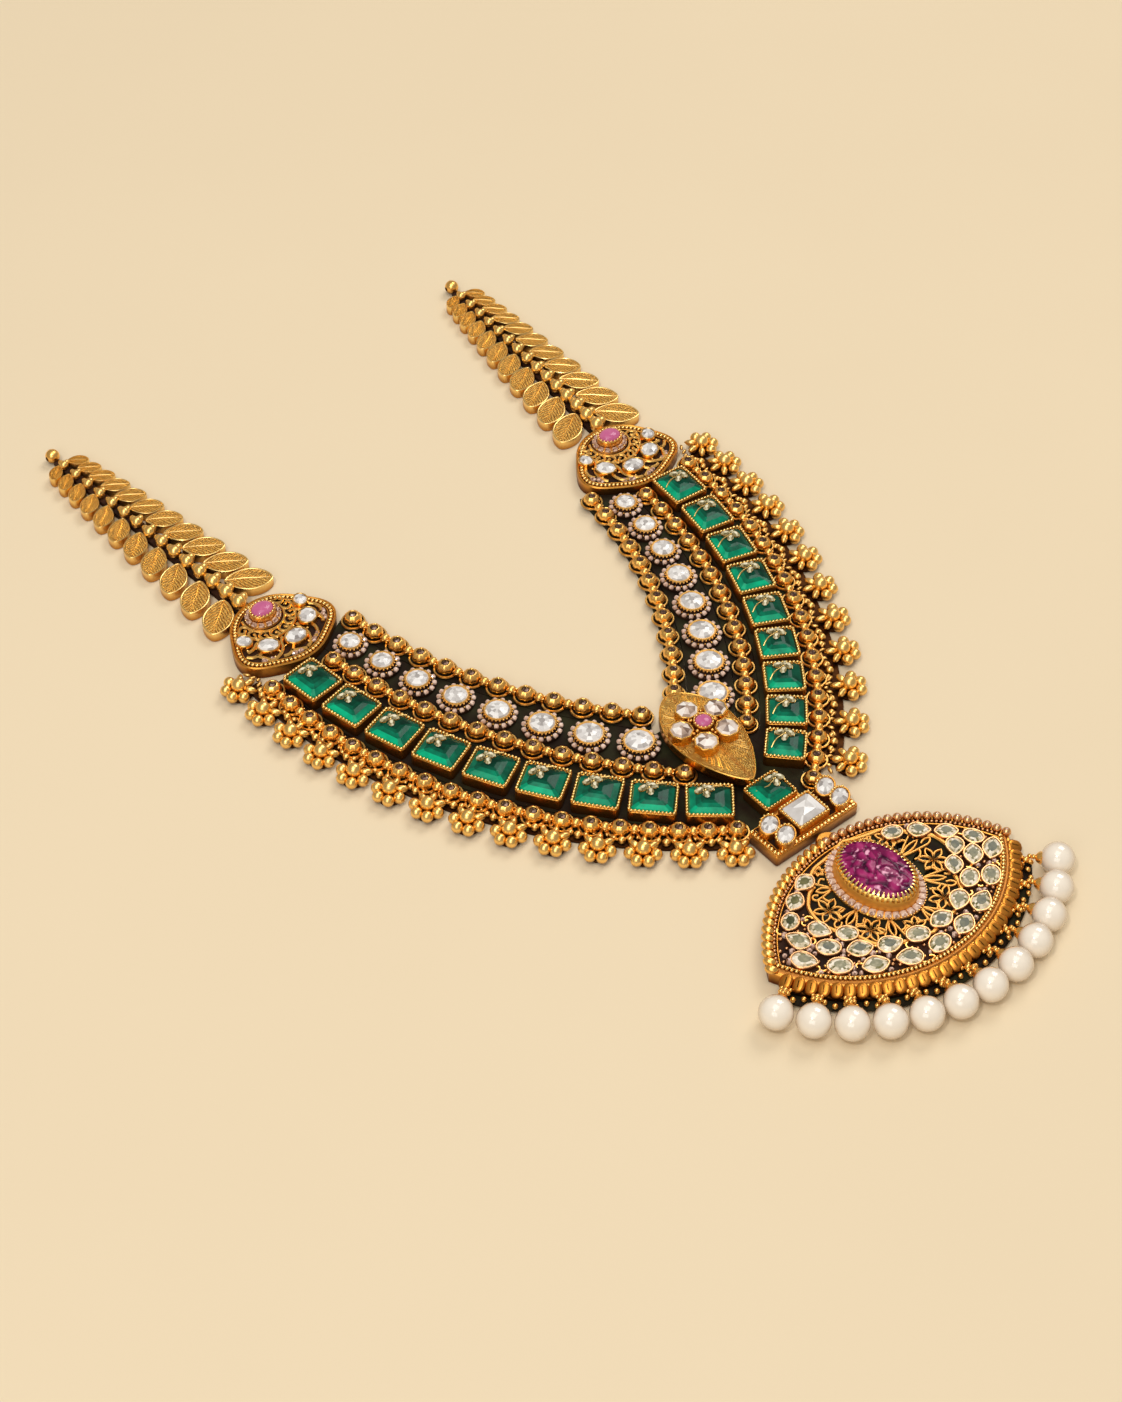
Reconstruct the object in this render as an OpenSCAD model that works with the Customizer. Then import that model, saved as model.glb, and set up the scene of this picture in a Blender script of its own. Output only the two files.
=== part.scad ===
// Temple necklace, laid open on a flat surface.
// Two arms of five soldered rows run from the centre emerald to an end plate and a leaf chain,
// and a pierced pendant with pearls lies below the centre. Millimetres, +Z up, backs at Z = 0.
// Both arms are drawn on the right of the middle line, and the left one is mirrored over it.

/* [Placement] */
// Sideways shift that brings the middle of the whole necklace to the origin
lay_x = 4.4; // [0:0.1:8]
// Shift along the necklace that brings its middle to the origin
lay_y = -61.3; // [-80:0.1:-40]

/* [Rows] */
// Thickness of the strip that the pieces of a row are soldered to
strip_t = 0.9; // [0.7:0.1:1.2]
// Gap between the strips of neighbouring rows
strip_gap = 0.2; // [0.1:0.05:0.5]

/* [Ball cups] */
// Outer radius of a cup on the left arm
cup_r = 2.35; // [2:0.05:2.6]
// Size of the right arm's cups next to the left arm's
right_cup_scale = 0.93; // [0.85:0.01:1]
// Wall of a cup
cup_wall = 0.4; // [0.3:0.05:0.6]
// Height of a cup's rim
cup_h = 2.4; // [1.8:0.1:3]
// Radius of the ball in a cup
ball_r = 1.85; // [1.4:0.05:1.9]
// Height of the ball's centre
ball_z = 2.2; // [1.8:0.1:2.4]
// Radius of the bead between two cups
link_r = 0.75; // [0.5:0.05:0.8]

/* [Emeralds] */
// Width of an emerald setting across the band
emerald_across = 9.2; // [8:0.1:9.5]
// Space that a setting leaves free of its pitch along the band
emerald_space = 1.7; // [1.2:0.1:2.6]
// Wall of a box setting
box_wall = 0.7; // [0.5:0.05:1]
// Height of a box setting
box_h = 4.0; // [3:0.1:5]
// Height at which a stone sits in its box
seat_z = 2.3; // [1.6:0.1:2.8]
// Height of an emerald's table
emerald_top = 5.0; // [4.2:0.1:6]

/* [Round stones] */
// Radius of the first round setting, at the end plate
polki_r_first = 2.5; // [2.3:0.1:3]
// Radius of the last round setting, at the centre
polki_r_last = 3.35; // [3:0.05:3.6]
// Width of the ring of small stones around a round setting
halo_w = 1.2; // [1:0.1:1.4]
// Height of the ring of small stones
halo_h = 2.2; // [1.6:0.1:2.6]
// Height of a round setting
polki_h = 3.2; // [2.6:0.1:3.6]
// Height of a round stone's table
polki_top = 4.0; // [3.6:0.1:4.6]

/* [Flower fringe] */
// Balls around the centre ball of a flower
petals = 7; // [6:1:8]
// Radius of the ring of petals
petal_ring = 2.75; // [2.4:0.05:3]
// Radius of a petal ball
petal_r = 1.15; // [0.9:0.05:1.3]
// Radius of the centre ball
flower_ball_r = 1.5; // [1.2:0.05:1.6]
// Thickness of a flower's back disc
flower_t = 1.0; // [0.8:0.1:1.3]
// Distance of the left arm's flowers from its outer cups
left_flower_out = 6.2; // [6.2:0.1:7.5]
// Distance of the right arm's flowers from its outer cups
right_flower_out = 7.2; // [6.2:0.1:8]

/* [Leaf chains] */
// Thickness of a leaf
leaf_t = 2.0; // [1.4:0.1:2.6]
// Length of the first leaf, beside the end bead
leaf_l_first = 4.9; // [4:0.1:6]
// Length of the last leaf, beside the end plate
leaf_l_last = 10.6; // [8:0.1:12]
// Width of a leaf next to its length
leaf_ratio = 0.62; // [0.5:0.01:0.66]
// Angle between a leaf and the spine
leaf_turn = 52; // [45:1:60]
// Distance of the first leaf's middle from the spine
leaf_out_first = 3.3; // [3:0.1:3.6]
// Distance of the last leaf's middle from the spine
leaf_out_last = 6.5; // [6:0.1:6.8]
// Radius of the end bead
end_bead_r = 1.75; // [1.5:0.05:2]
// Radius of the cord hole through the end bead
cord_r = 0.6; // [0.4:0.05:0.8]

/* [End plates] */
// Thickness of an end plate
plate_t = 3.3; // [2.6:0.1:4]
// Radius of an end plate between its corners
plate_r = 11.3; // [10:0.1:12]
// How far its two corners stand out
plate_corner = 2.6; // [1:0.1:3.5]
// Height of its rim
plate_rim_h = 4.0; // [3.6:0.1:4.6]

/* [Centre] */
// Length of the plain leaf over the meeting of the arms
centre_leaf_l = 30.4; // [26:0.1:31]
// Width of that leaf
centre_leaf_w = 16.4; // [14:0.1:17]
// Height of its face
centre_leaf_h = 5.4; // [4:0.1:6.5]
// Width of the connector plate
connector_w = 23.4; // [20:0.1:26]
// Length of the connector plate
connector_l = 9.0; // [8.5:0.1:10]
// Thickness of the connector plate
connector_t = 2.8; // [2:0.1:3.6]

/* [Pendant] */
// Radius of the pendant's lower edge
lower_r = 37.2; // [34:0.1:40]
// Radius of its upper edge
upper_r = 35.4; // [32:0.1:38]
// Distance between the centres of the two edges
edge_gap = 32.3; // [28:0.1:36]
// Thickness of the pendant plate
pendant_t = 3.0; // [2.4:0.1:3.8]
// Turn of the pendant against the necklace's middle line
pendant_turn = -4; // [-8:0.5:4]
// Half width of the carved ruby
ruby_a = 6.3; // [5:0.1:7]
// Half length of the carved ruby
ruby_b = 8.9; // [7:0.1:10]
// Height of the ruby's setting
ruby_h = 7.4; // [5:0.1:8]
// Height of the ruby's top
ruby_top = 9.2; // [8.2:0.1:10]
// Diameter of a pearl
pearl_d = 7.3; // [6:0.1:7.6]
// Radius of the arc that the pearls hang on
pearl_arc = 45.7; // [44:0.1:48]

/* [Hidden] */
$fn = 48;
pearls = 12;
emeralds = 9;
// Fit between a stone and its setting
play = 0.06;
// How far two soldered bodies run into each other
sink = 0.1;

// The rows of each arm, from the inside of the neck outwards:
// centre x, centre y, radius, angle of the first piece, first pitch, last pitch, number of pieces
INNER = 0; POLKI = 1; MIDDLE = 2; EMERALD = 3; OUTER = 4; FLOWER = 5;
function flower_row(outer, out, angle, first, last, count) =
    [outer[0], outer[1], outer[2] + out, angle, first, last, count];
right_outer = [-66.9, 93.0, 122.2, -0.9, 6.6, 6.0, 18];
left_outer = [-55.3, 96.9, 120.5, -1.8, 6.4, 6.2, 19];
right_rows = [
    [-76.8, 106.1, 106.4, -5.6, 6.1, 5.9, 12],
    [-81.3, 103.0, 116.4, -6.7, 8.9, 9.8, 8],
    [-68.4, 95.0, 108.9, -3.2, 6.2, 5.8, 14],
    [-71.4, 94.3, 119.3, -4.3, 11.9, 10.0, 9],
    right_outer,
    flower_row(right_outer, right_flower_out, 0.6, 8.6, 11.4, 12)
];
left_rows = [
    [-83.6, 119.5, 123.6, -9.3, 6.6, 6.6, 12],
    [-85.5, 116.0, 131.0, -9.9, 9.6, 11.0, 8],
    [-88.2, 115.0, 139.7, -9.6, 6.45, 6.8, 14],
    [-70.2, 104.7, 128.6, -7.2, 12.0, 12.0, 9],
    left_outer,
    flower_row(left_outer, left_flower_out, 0.6, 9.2, 9.8, 14)
];
function rows(left) = left ? left_rows : right_rows;
// Half the width of the pieces of each row, and how far in pitches its strip runs past them
half_widths = [cup_r, polki_r_last + halo_w, cup_r, emerald_across / 2, cup_r];
strip_starts = [0.5, 0.5, 0.45, 0.36, 0.38];
strip_ends = [0.3, 0.3, 0.3, 0.4, 0.3];

// The leaf chains: bead x, bead y, plate end x, plate end y,
// and the distance from the bead to the last leaf outside and inside
leaf_pairs = 11;
buds = 15;
leaf_start = 5.9;
leaf_growth = 0.6;
right_chain = [53.0, 181.2, 47.2, 114.0, 64.6, 62.6];
left_chain = [61.6, 190.6, 55.2, 118.6, 70.9, 66.1];

// The end plates: centre x, centre y, turn
right_plate = [44.6, 102.6, -4];
left_plate = [53.4, 107.0, -7];
// The stones of an end plate around its ruby: angle, distance, length, width
plate_ruby_y = 5.6;
plate_stones = [
    [-163, 9.4, 3.2, 2.8],
    [-131, 10.2, 4.6, 3.8],
    [-93, 10.6, 5.0, 4.0],
    [-55, 10.2, 4.6, 3.8],
    [-22, 9.6, 3.4, 3.0]
];

// The stones of the pendant in arcs about its lower or (1) its upper centre:
// centre, first radius, last radius, first angle, last angle, number, length, width
pendant_stones = [
    [0, 32.2, 33.0, -142, -36, 9, 5.0, 3.5],
    [0, 27.4, 28.8, -147, -39.5, 9, 4.8, 3.4],
    [0, 22.9, 23.2, -139, -125, 2, 4.2, 3.2],
    [0, 24.2, 24.4, -47, -35, 2, 4.2, 3.2],
    [1, 30.6, 31.2, 133, 113, 3, 4.3, 3.2],
    [1, 30.8, 31.0, 36, 68, 4, 4.3, 3.2]
];

// Stations along a row, whose pitch grows evenly from the first to the last
function station(row, i) = row[4] * i + (row[5] - row[4]) * i * (i - 1) / (2 * (row[6] - 2));
function turn_at(row, i) = row[3] - station(row, i) / row[2] * 180 / PI;
function spot(row, i, out = 0) = [
    row[0] + (row[2] + out) * cos(turn_at(row, i)),
    row[1] + (row[2] + out) * sin(turn_at(row, i))
];

// Outlines
function oval(l, w, n = 24) = [for (k = [0 : n - 1]) [l / 2 * cos(360 * k / n), w / 2 * sin(360 * k / n)]];
function box_outline(l, w, cut) = [
    [l / 2, -w / 2 + cut], [l / 2, w / 2 - cut], [l / 2 - cut, w / 2], [-l / 2 + cut, w / 2],
    [-l / 2, w / 2 - cut], [-l / 2, -w / 2 + cut], [-l / 2 + cut, -w / 2], [l / 2 - cut, -w / 2]
];
function leaf_half(t, w, fullness, blunt) = w / 2 * pow(max(0, sin(180 * pow(t, fullness))), blunt);
function leaf_outline(l, w, fullness, n = 14, blunt = 0.75) = concat(
    [for (k = [0 : n]) [l * k / n, -leaf_half(k / n, w, fullness, blunt)]],
    [for (k = [n - 1 : -1 : 1]) [l * k / n, leaf_half(k / n, w, fullness, blunt)]]
);

// Moves a drawn piece onto the row's station, with X pointing outwards across the band
module on_row(row, i, out = 0) {
    translate(spot(row, i, out)) rotate(turn_at(row, i)) children();
}

module on_arm(left) {
    translate([lay_x, lay_y, 0]) mirror([left ? 1 : 0, 0, 0]) children();
}

module on_middle() {
    translate([lay_x, lay_y, 0]) children();
}

// The line between two rows, at part t of their length, shared out by the width of their pieces
function row_part(rows, k, t) = -strip_starts[k] + (strip_starts[k] + rows[k][6] - 1 + strip_ends[k]) * t;
function row_spot(rows, k, t, out = 0) = spot(rows[k], row_part(rows, k, t), out);
function border(rows, k, t, side) = let (
    a = row_spot(rows, k, t),
    b = row_spot(rows, k + 1, t),
    share = half_widths[k] / (half_widths[k] + half_widths[k + 1])
) a + (b - a) * share + side * strip_gap / 2 * (b - a) / norm(b - a);

// The strip of row k, from the line before it to the line after it
module strip(rows, k) {
    n = 2 * rows[k][6];
    lower = [for (i = [0 : n]) k == INNER ? row_spot(rows, k, i / n, -1.9) : border(rows, k - 1, i / n, 1)];
    upper = [for (i = [n : -1 : 0]) k == OUTER ? row_spot(rows, k, i / n, 1.9) : border(rows, k, i / n, -1)];
    linear_extrude(strip_t) polygon(concat(lower, upper));
}

// A cut stone: levels of height and scale over one outline, the last of them its table
module cut_stone(outline, levels) {
    n = len(outline);
    last = len(levels) - 1;
    points = [for (v = levels) for (p = outline) [p[0] * v[1], p[1] * v[1], v[0]]];
    sides = [for (j = [0 : last - 1]) for (k = [0 : n - 1])
        [j * n + k, (j + 1) * n + k, (j + 1) * n + (k + 1) % n, j * n + (k + 1) % n]];
    polyhedron(points, concat(
        [[for (k = [0 : n - 1]) k]],
        sides,
        [[for (k = [n - 1 : -1 : 0]) last * n + k]]
    ));
}

// A wall of the given outline with a pocket for its stone
module collet(outline, inner, floor_z, top, seat) {
    difference() {
        translate([0, 0, floor_z]) linear_extrude(top - floor_z) polygon(outline);
        translate([0, 0, seat]) linear_extrude(top) polygon(inner);
    }
}

// Ball cups
module ball_cup(s) {
    difference() {
        translate([0, 0, strip_t]) cylinder(r = cup_r * s, h = cup_h - strip_t);
        translate([0, 0, strip_t + 0.3]) cylinder(r = (cup_r - cup_wall) * s, h = cup_h);
    }
    translate([0, 0, ball_z]) sphere(r = ball_r * s);
}

module cup_row(rows, k, s) {
    row = rows[k];
    last = row[6] - 1;
    strip(rows, k);
    for (i = [0 : last]) on_row(row, i) ball_cup(s);
    for (i = [0 : last - 1]) on_row(row, i + 0.5) translate([0, 0, 1.3]) sphere(r = link_r * s);
}

module cup_rows(left) {
    s = left ? 1 : right_cup_scale;
    color("goldenrod") on_arm(left) for (k = [INNER, MIDDLE, OUTER]) cup_row(rows(left), k, s);
}

// Emeralds: the setting's length along the band follows the row's pitch
function emerald_l(row, i) =
    (station(row, min(i + 1, row[6] - 1)) - station(row, max(i - 1, 0))) / (i == 0 || i == row[6] - 1 ? 1 : 2)
    - emerald_space;

module emerald_box(l, floor_z) {
    collet(
        box_outline(emerald_across, l, 0.3),
        box_outline(emerald_across - 2 * box_wall, l - 2 * box_wall, 0.5),
        floor_z, box_h, seat_z
    );
}

module emerald_stone(l) {
    a = emerald_across - 2 * (box_wall + play);
    cut_stone(box_outline(a, l - 2 * (box_wall + play), 0.6),
        [[seat_z, 0.9], [box_h - 0.6, 1], [box_h - 0.1, 0.97], [emerald_top - 0.3, 0.7], [emerald_top, 0.5]]);
}

module emerald_settings(left) {
    row = rows(left)[EMERALD];
    color("darkgoldenrod") on_arm(left) {
        strip(rows(left), EMERALD);
        for (i = [0 : emeralds - 1]) on_row(row, i) {
            l = emerald_l(row, i);
            emerald_box(l, strip_t);
            linear_extrude(seat_z - sink) polygon(box_outline(emerald_across - 2, l - 2, 0.3));
        }
    }
}

module emerald(left, i) {
    row = rows(left)[EMERALD];
    color("seagreen") on_arm(left) on_row(row, i) emerald_stone(emerald_l(row, i));
}

// Round stones in rings
function polki_r(i, n) = polki_r_first + (polki_r_last - polki_r_first) * i / (n - 1);

module polki_settings(left) {
    row = rows(left)[POLKI];
    last = row[6] - 1;
    color("darkgoldenrod") on_arm(left) {
        strip(rows(left), POLKI);
        for (i = [0 : last]) on_row(row, i) {
            r = polki_r(i, last + 1);
            translate([0, 0, strip_t]) cylinder(r = r + halo_w, h = halo_h - strip_t);
            difference() {
                translate([0, 0, strip_t - sink]) cylinder(r = r, h = polki_h - strip_t + sink);
                translate([0, 0, halo_h + 0.2]) cylinder(r = r - 0.4, h = polki_h);
            }
        }
    }
}

module polki_stones(left) {
    row = rows(left)[POLKI];
    color("white") on_arm(left) for (i = [0 : row[6] - 1]) on_row(row, i)
        cut_stone(oval(1, 1, 10) * 2 * (polki_r(i, row[6]) - 0.4 - play),
            [[halo_h + 0.2, 0.85], [polki_h - 0.4, 1], [polki_h, 0.95], [polki_top, 0.45]]);
}

// Flower fringe, on a rail beside the outer cups
disc_r = petal_ring + petal_r - 0.3;
module flower() {
    cylinder(r = disc_r, h = flower_t);
    translate([0, 0, 2.2]) sphere(r = flower_ball_r);
    for (k = [0 : petals - 1]) rotate(360 * k / petals)
        translate([petal_ring, 0, 1.9]) sphere(r = petal_r);
}

module flower_fringe(left) {
    row = rows(left)[FLOWER];
    last = row[6] - 1;
    cup_edge = (left ? cup_r : cup_r * right_cup_scale) + 0.12;
    rail_start = cup_edge - (left ? left_flower_out : right_flower_out);
    rail_end = 0.4 - disc_r;
    color("goldenrod") on_arm(left) {
        linear_extrude(strip_t) polygon(concat(
            [for (i = [0 : 0.5 : last]) spot(row, i, rail_start)],
            [for (i = [last : -0.5 : 0]) spot(row, i, rail_end)]
        ));
        for (i = [0 : last]) on_row(row, i) flower();
    }
}

// Leaf chains, drawn along -Y from the end bead
function chain_dir(c) = atan2(c[3] - c[1], c[2] - c[0]);
function chain_l(c) = norm([c[2] - c[0], c[3] - c[1]]);
function leaf_share(i) = i / (leaf_pairs - 1) * (1 + leaf_growth * i / (leaf_pairs - 1)) / (1 + leaf_growth);
function leaf_station(c, side, i) = leaf_start + (c[side > 0 ? 4 : 5] - leaf_start) * leaf_share(i);
function leaf_size(i, first, last) = first + (last - first) * i / (leaf_pairs - 1);
function bud_r(k) = 1.1 + 0.7 * k / (buds - 1);

module chain_leaf(l) {
    outline = leaf_outline(l, l * leaf_ratio, 1.1, 14, 0.58);
    linear_extrude(leaf_t + 0.4) polygon([for (p = outline) p - [l / 2, 0]]);
}

// A turned bead with its cord hole across the chain
module end_bead() {
    edge_turn = acos(cord_r / end_bead_r);
    rotate([90, 0, 0]) rotate_extrude() polygon([for (k = [0 : 12])
        let (t = edge_turn * (k / 6 - 1)) end_bead_r * [cos(t), sin(t)]]);
}

module leaf_chain(left) {
    c = left ? left_chain : right_chain;
    color("gold") on_arm(left) translate([c[0], c[1], 0]) rotate(chain_dir(c)) {
        translate([0, 0, end_bead_r]) end_bead();
        linear_extrude(1.4) polygon([
            [1.1, -1], [5, -1.9], [chain_l(c), -3],
            [chain_l(c), 3], [5, 1.9], [1.1, 1]
        ]);
        for (i = [0 : leaf_pairs - 1]) for (side = [-1, 1])
            translate([leaf_station(c, side, i), side * leaf_size(i, leaf_out_first, leaf_out_last), 0])
                rotate(side * leaf_turn) chain_leaf(leaf_size(i, leaf_l_first, leaf_l_last));
        for (k = [0 : buds - 1]) translate([4.6 + (chain_l(c) - 6.4) * k / (buds - 1), 0, 1.9])
            sphere(r = bud_r(k));
    }
}

// End plates
module on_plate(left) {
    p = left ? left_plate : right_plate;
    on_arm(left) translate([p[0], p[1], 0]) rotate(p[2]) children();
}

function plate_edge(t, inset = 0) =
    plate_r - inset + plate_corner * (pow(max(0, cos(t + 14)), 10) + pow(max(0, cos(t - 194)), 10));
function plate_outline(inset = 0, n = 60) = [for (k = [0 : n - 1])
    plate_edge(360 * k / n, inset) * [cos(360 * k / n), sin(360 * k / n)]];
function stone_spot(s) = [0, plate_ruby_y] + s[1] * [cos(s[0]), sin(s[0])];

module scroll_gap(r, t, sweep, w) {
    a = [for (k = [0 : 4]) t + sweep * k / 4];
    inner = [for (v = a) (r - w / 2) * [cos(v), sin(v)]];
    outer = [for (v = a) (r + w / 2 * sin(180 * (v - t) / sweep)) * [cos(v), sin(v)]];
    linear_extrude(20, center = true) polygon(concat(inner, [for (k = [4 : -1 : 0]) outer[k]]));
}

module end_plate(left) {
    h = plate_t;
    color("darkgoldenrod") on_plate(left) {
        difference() {
            linear_extrude(h) polygon(plate_outline());
            translate([0, plate_ruby_y]) for (k = [0 : 8]) scroll_gap(6.6, -196 + 24 * k, 17, 1.8);
            translate([0, plate_ruby_y]) for (k = [0 : 3]) scroll_gap(10.8, -152 + 36.5 * k, 8, 2.4);
        }
        difference() {
            linear_extrude(plate_rim_h) polygon(plate_outline());
            translate([0, 0, -1]) linear_extrude(plate_rim_h + 2) polygon(plate_outline(0.9));
        }
        for (s = plate_stones) translate(stone_spot(s)) rotate(s[0] + 90)
            collet(oval(s[2] + 0.8, s[3] + 0.8), oval(s[2], s[3]), h - sink, h + 0.9, h + sink);
        translate([0, plate_ruby_y]) {
            collet(oval(8.8, 7.8), oval(4.8, 3.8), h - sink, h + 0.5, h + sink);
            collet(oval(6.2, 5.2), oval(5.0, 4.0), h - sink, h + 2, h + 0.7);
        }
    }
}

module end_polki(left) {
    color("white") on_plate(left) for (s = plate_stones) translate(stone_spot(s)) rotate(s[0] + 90)
        cut_stone(oval(s[2] - 2 * play, s[3] - 2 * play, 8),
            [[plate_t + sink, 0.85], [plate_t + 0.7, 1], [plate_t + 1.5, 0.5]]);
}

module end_ruby(left) {
    color("palevioletred") on_plate(left) translate([0, plate_ruby_y])
        cut_stone(oval(5.0 - 2 * play, 4.0 - 2 * play, 12),
            [[plate_t + 0.7, 0.95], [plate_t + 2, 1], [plate_t + 2.8, 0.75], [plate_t + 3.1, 0.4]]);
}

// Centre leaf with its five box settings and a round one
flower_at = [-1.2, 21.4];
flower_stone_r = 5.3;
flower_turn = 20;
leaf_tip = [-2.3, 3.9];
leaf_lean = 86;
leaf_foot_inset = 2.4;
leaf_foot_h = 4.1;

function gem_outline(r) = [for (k = [0 : 7]) r * [cos(45 * k + 22.5), sin(45 * k + 22.5)]];

module centre_leaf() {
    h = centre_leaf_h;
    foot = leaf_outline(centre_leaf_l - 2 * leaf_foot_inset, centre_leaf_w - 2 * leaf_foot_inset, 0.9, 20);
    color("gold") on_middle() {
        translate(leaf_tip) rotate(leaf_lean) {
            translate([leaf_foot_inset, 0, 0]) linear_extrude(leaf_foot_h + sink) polygon(foot);
            translate([0, 0, leaf_foot_h]) linear_extrude(h - leaf_foot_h)
                polygon(leaf_outline(centre_leaf_l, centre_leaf_w, 1.25, 24, 0.55));
        }
        translate(flower_at) {
            for (k = [0 : 4]) rotate(flower_turn + 72 * k) translate([flower_stone_r, 0])
                collet(gem_outline(2.5), gem_outline(2.1), h - sink, h + 1.9, h + 0.8);
            collet(oval(4.6, 4.6), oval(3.6, 3.6), h - sink, h + 2.4, h + 1.2);
        }
    }
}

module centre_flower_stones() {
    h = centre_leaf_h;
    color("white") on_middle() translate(flower_at) for (k = [0 : 4])
        rotate(flower_turn + 72 * k) translate([flower_stone_r, 0])
            cut_stone(gem_outline(2.1 - play), [[h + 0.8, 0.8], [h + 1.8, 1], [h + 2.9, 0.3]]);
}

module centre_ruby() {
    h = centre_leaf_h;
    color("palevioletred") on_middle() translate(flower_at)
        cut_stone(oval(3.6 - 2 * play, 3.6 - 2 * play, 12),
            [[h + 1.2, 0.9], [h + 2.3, 1], [h + 3.0, 0.7], [h + 3.2, 0.35]]);
}

// Connector: the plate that carries the centre emerald, a square stone and four ovals
connector_top = -5.2;
square_at = [0.6, -9.0];
square_l = 8.2;
square_w = 6.9;
// Each oval: x, y, turn
ovals = [[-7.6, -7.7, 35], [-6.9, -11.3, 35], [8.2, -7.7, 35], [8.9, -11.3, 35]];
centre_emerald_l = 7.2;
centre_emerald_y = -0.3;

module connector_plate() {
    bottom = [-connector_w / 2, connector_top - connector_l];
    rim = 0.9;
    tongue = centre_emerald_y + centre_emerald_l / 2 - connector_top + 1;
    color("darkgoldenrod") on_middle() {
        difference() {
            union() {
                translate(bottom) cube([connector_w, connector_l, connector_t]);
                translate([-emerald_across / 2, connector_top - 1, 0]) cube([emerald_across, tongue, seat_z]);
            }
            translate([bottom[0] + rim, bottom[1] + rim, connector_t - 0.5])
                cube([connector_w - 2 * rim, connector_l - rim + sink, 2]);
        }
        translate([0, centre_emerald_y]) emerald_box(centre_emerald_l, seat_z - 1);
        translate(square_at) collet(
            box_outline(square_l, square_w, 0.3),
            box_outline(square_l - 1.3, square_w - 1.3, 0.4),
            connector_t - 0.6, 5.0, 3.4
        );
        for (p = ovals) translate([p[0], p[1]]) rotate(p[2])
            collet(oval(5.2, 4.0), oval(4.4, 3.2), connector_t - 0.6, 4.6, 3.4);
    }
}

module connector_square_stone() {
    color("white") on_middle() translate(square_at)
        cut_stone(box_outline(square_l - 1.3 - 2 * play, square_w - 1.3 - 2 * play, 0.6),
            [[3.4, 0.9], [4.7, 1], [5.6, 0.62], [5.8, 0.4]]);
}

module connector_oval_stones() {
    color("white") on_middle() for (p = ovals) translate([p[0], p[1]]) rotate(p[2])
        cut_stone(oval(4.4 - 2 * play, 3.2 - 2 * play, 8), [[3.4, 0.9], [4.4, 1], [5.2, 0.5]]);
}

module centre_emerald() {
    color("seagreen") on_middle() translate([0, centre_emerald_y]) emerald_stone(centre_emerald_l);
}

// Pendant, drawn about the centre of its lower edge
pendant_y = -20.4;
ruby_at = [0.5, -11.5];
ruby_turn = 12;
jali_r = 14.6;
jali_lobe = 1.5;
pearl_first = -145;
pearl_last = -39.4;
scales = 30;

module on_pendant() {
    on_middle() translate([0, pendant_y]) rotate(pendant_turn) children();
}

function edge(r, centre_y, from, to, n) = [for (k = [0 : n]) let (t = from + (to - from) * k / n)
    [r * cos(t), centre_y + r * sin(t)]];
// The two edges, from one crossing to the other
function pendant_outline(inset) = let (
    lr = lower_r - inset,
    ur = upper_r - inset,
    cross_y = (ur * ur - lr * lr - edge_gap * edge_gap) / (2 * edge_gap),
    a = asin(cross_y / lr),
    b = asin((cross_y + edge_gap) / ur)
) concat(edge(lr, 0, -180 - a, a, 40), edge(ur, -edge_gap, b, 180 - b, 40));

function ellipse_r(a, b, t) = a * b / sqrt(pow(b * cos(t), 2) + pow(a * sin(t), 2));
function jali_out(t) = jali_r + jali_lobe * abs(cos(2.5 * (t + 90)));

module teardrop_gap(r0, r1, w) {
    outline = [for (p = leaf_outline(r1 - r0, w, 1.25, 6)) p + [r0, 0]];
    linear_extrude(30, center = true) polygon(outline);
}

module pendant_jali_gaps() {
    for (t = [-225 : 22.5 : 45]) {
        rotate(t) teardrop_gap(ellipse_r(9.9, 12.4, t - ruby_turn), jali_out(t) - 0.7, 2.6);
        if (t < 45) rotate(t + 11.25) translate([jali_out(t + 11.25) - 1.3, 0, 0])
            linear_extrude(30, center = true) circle(r = 0.7, $fn = 8);
    }
}

arc_stones = [for (s = pendant_stones) for (k = [0 : s[5] - 1]) let (
    part = k / (s[5] - 1),
    r = s[1] + (s[2] - s[1]) * part,
    t = s[3] + (s[4] - s[3]) * part
) [r * cos(t), r * sin(t) - s[0] * edge_gap, t + 90, s[6], s[7]]];

module pendant_plate() {
    h = pendant_t;
    color("darkgoldenrod") on_pendant() {
        difference() {
            linear_extrude(h) polygon(pendant_outline(0));
            translate(ruby_at) pendant_jali_gaps();
        }
        difference() {
            linear_extrude(h + 1.1) polygon(pendant_outline(0.8));
            translate([0, 0, -1]) linear_extrude(h + 4) polygon(pendant_outline(1.9));
        }
        for (k = [0 : scales - 1]) rotate(-146 + 112 * k / (scales - 1)) translate([lower_r + 0.9, 0, 0])
            cylinder(r = 1.6, h = h + 0.3, $fn = 12);
        for (p = arc_stones) translate([p[0], p[1]]) rotate(p[2])
            collet(oval(p[3] + 0.7, p[4] + 0.7, 16), oval(p[3], p[4], 16), h - sink, h + 0.8, h + sink);
        translate(ruby_at) rotate(ruby_turn) {
            seat = oval(2 * ruby_a, 2 * ruby_b, 40);
            collet(oval(2 * ruby_a + 5.4, 2 * ruby_b + 5.4, 40), seat, h - sink, h + 1.1, h + sink);
            collet(oval(2 * ruby_a + 1.4, 2 * ruby_b + 1.4, 40), seat, h - sink, ruby_h, 5.2);
        }
        translate([0, upper_r - edge_gap, 0]) cylinder(r = 2.8, h = 2.4);
    }
}

module pendant_ruby() {
    color("mediumvioletred") on_pendant() translate(ruby_at) rotate(ruby_turn)
        cut_stone(oval(2 * (ruby_a - play), 2 * (ruby_b - play), 20),
            [[5.2, 0.96], [ruby_h - 0.2, 1], [ruby_top - 0.8, 0.86], [ruby_top, 0.55]]);
}

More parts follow.
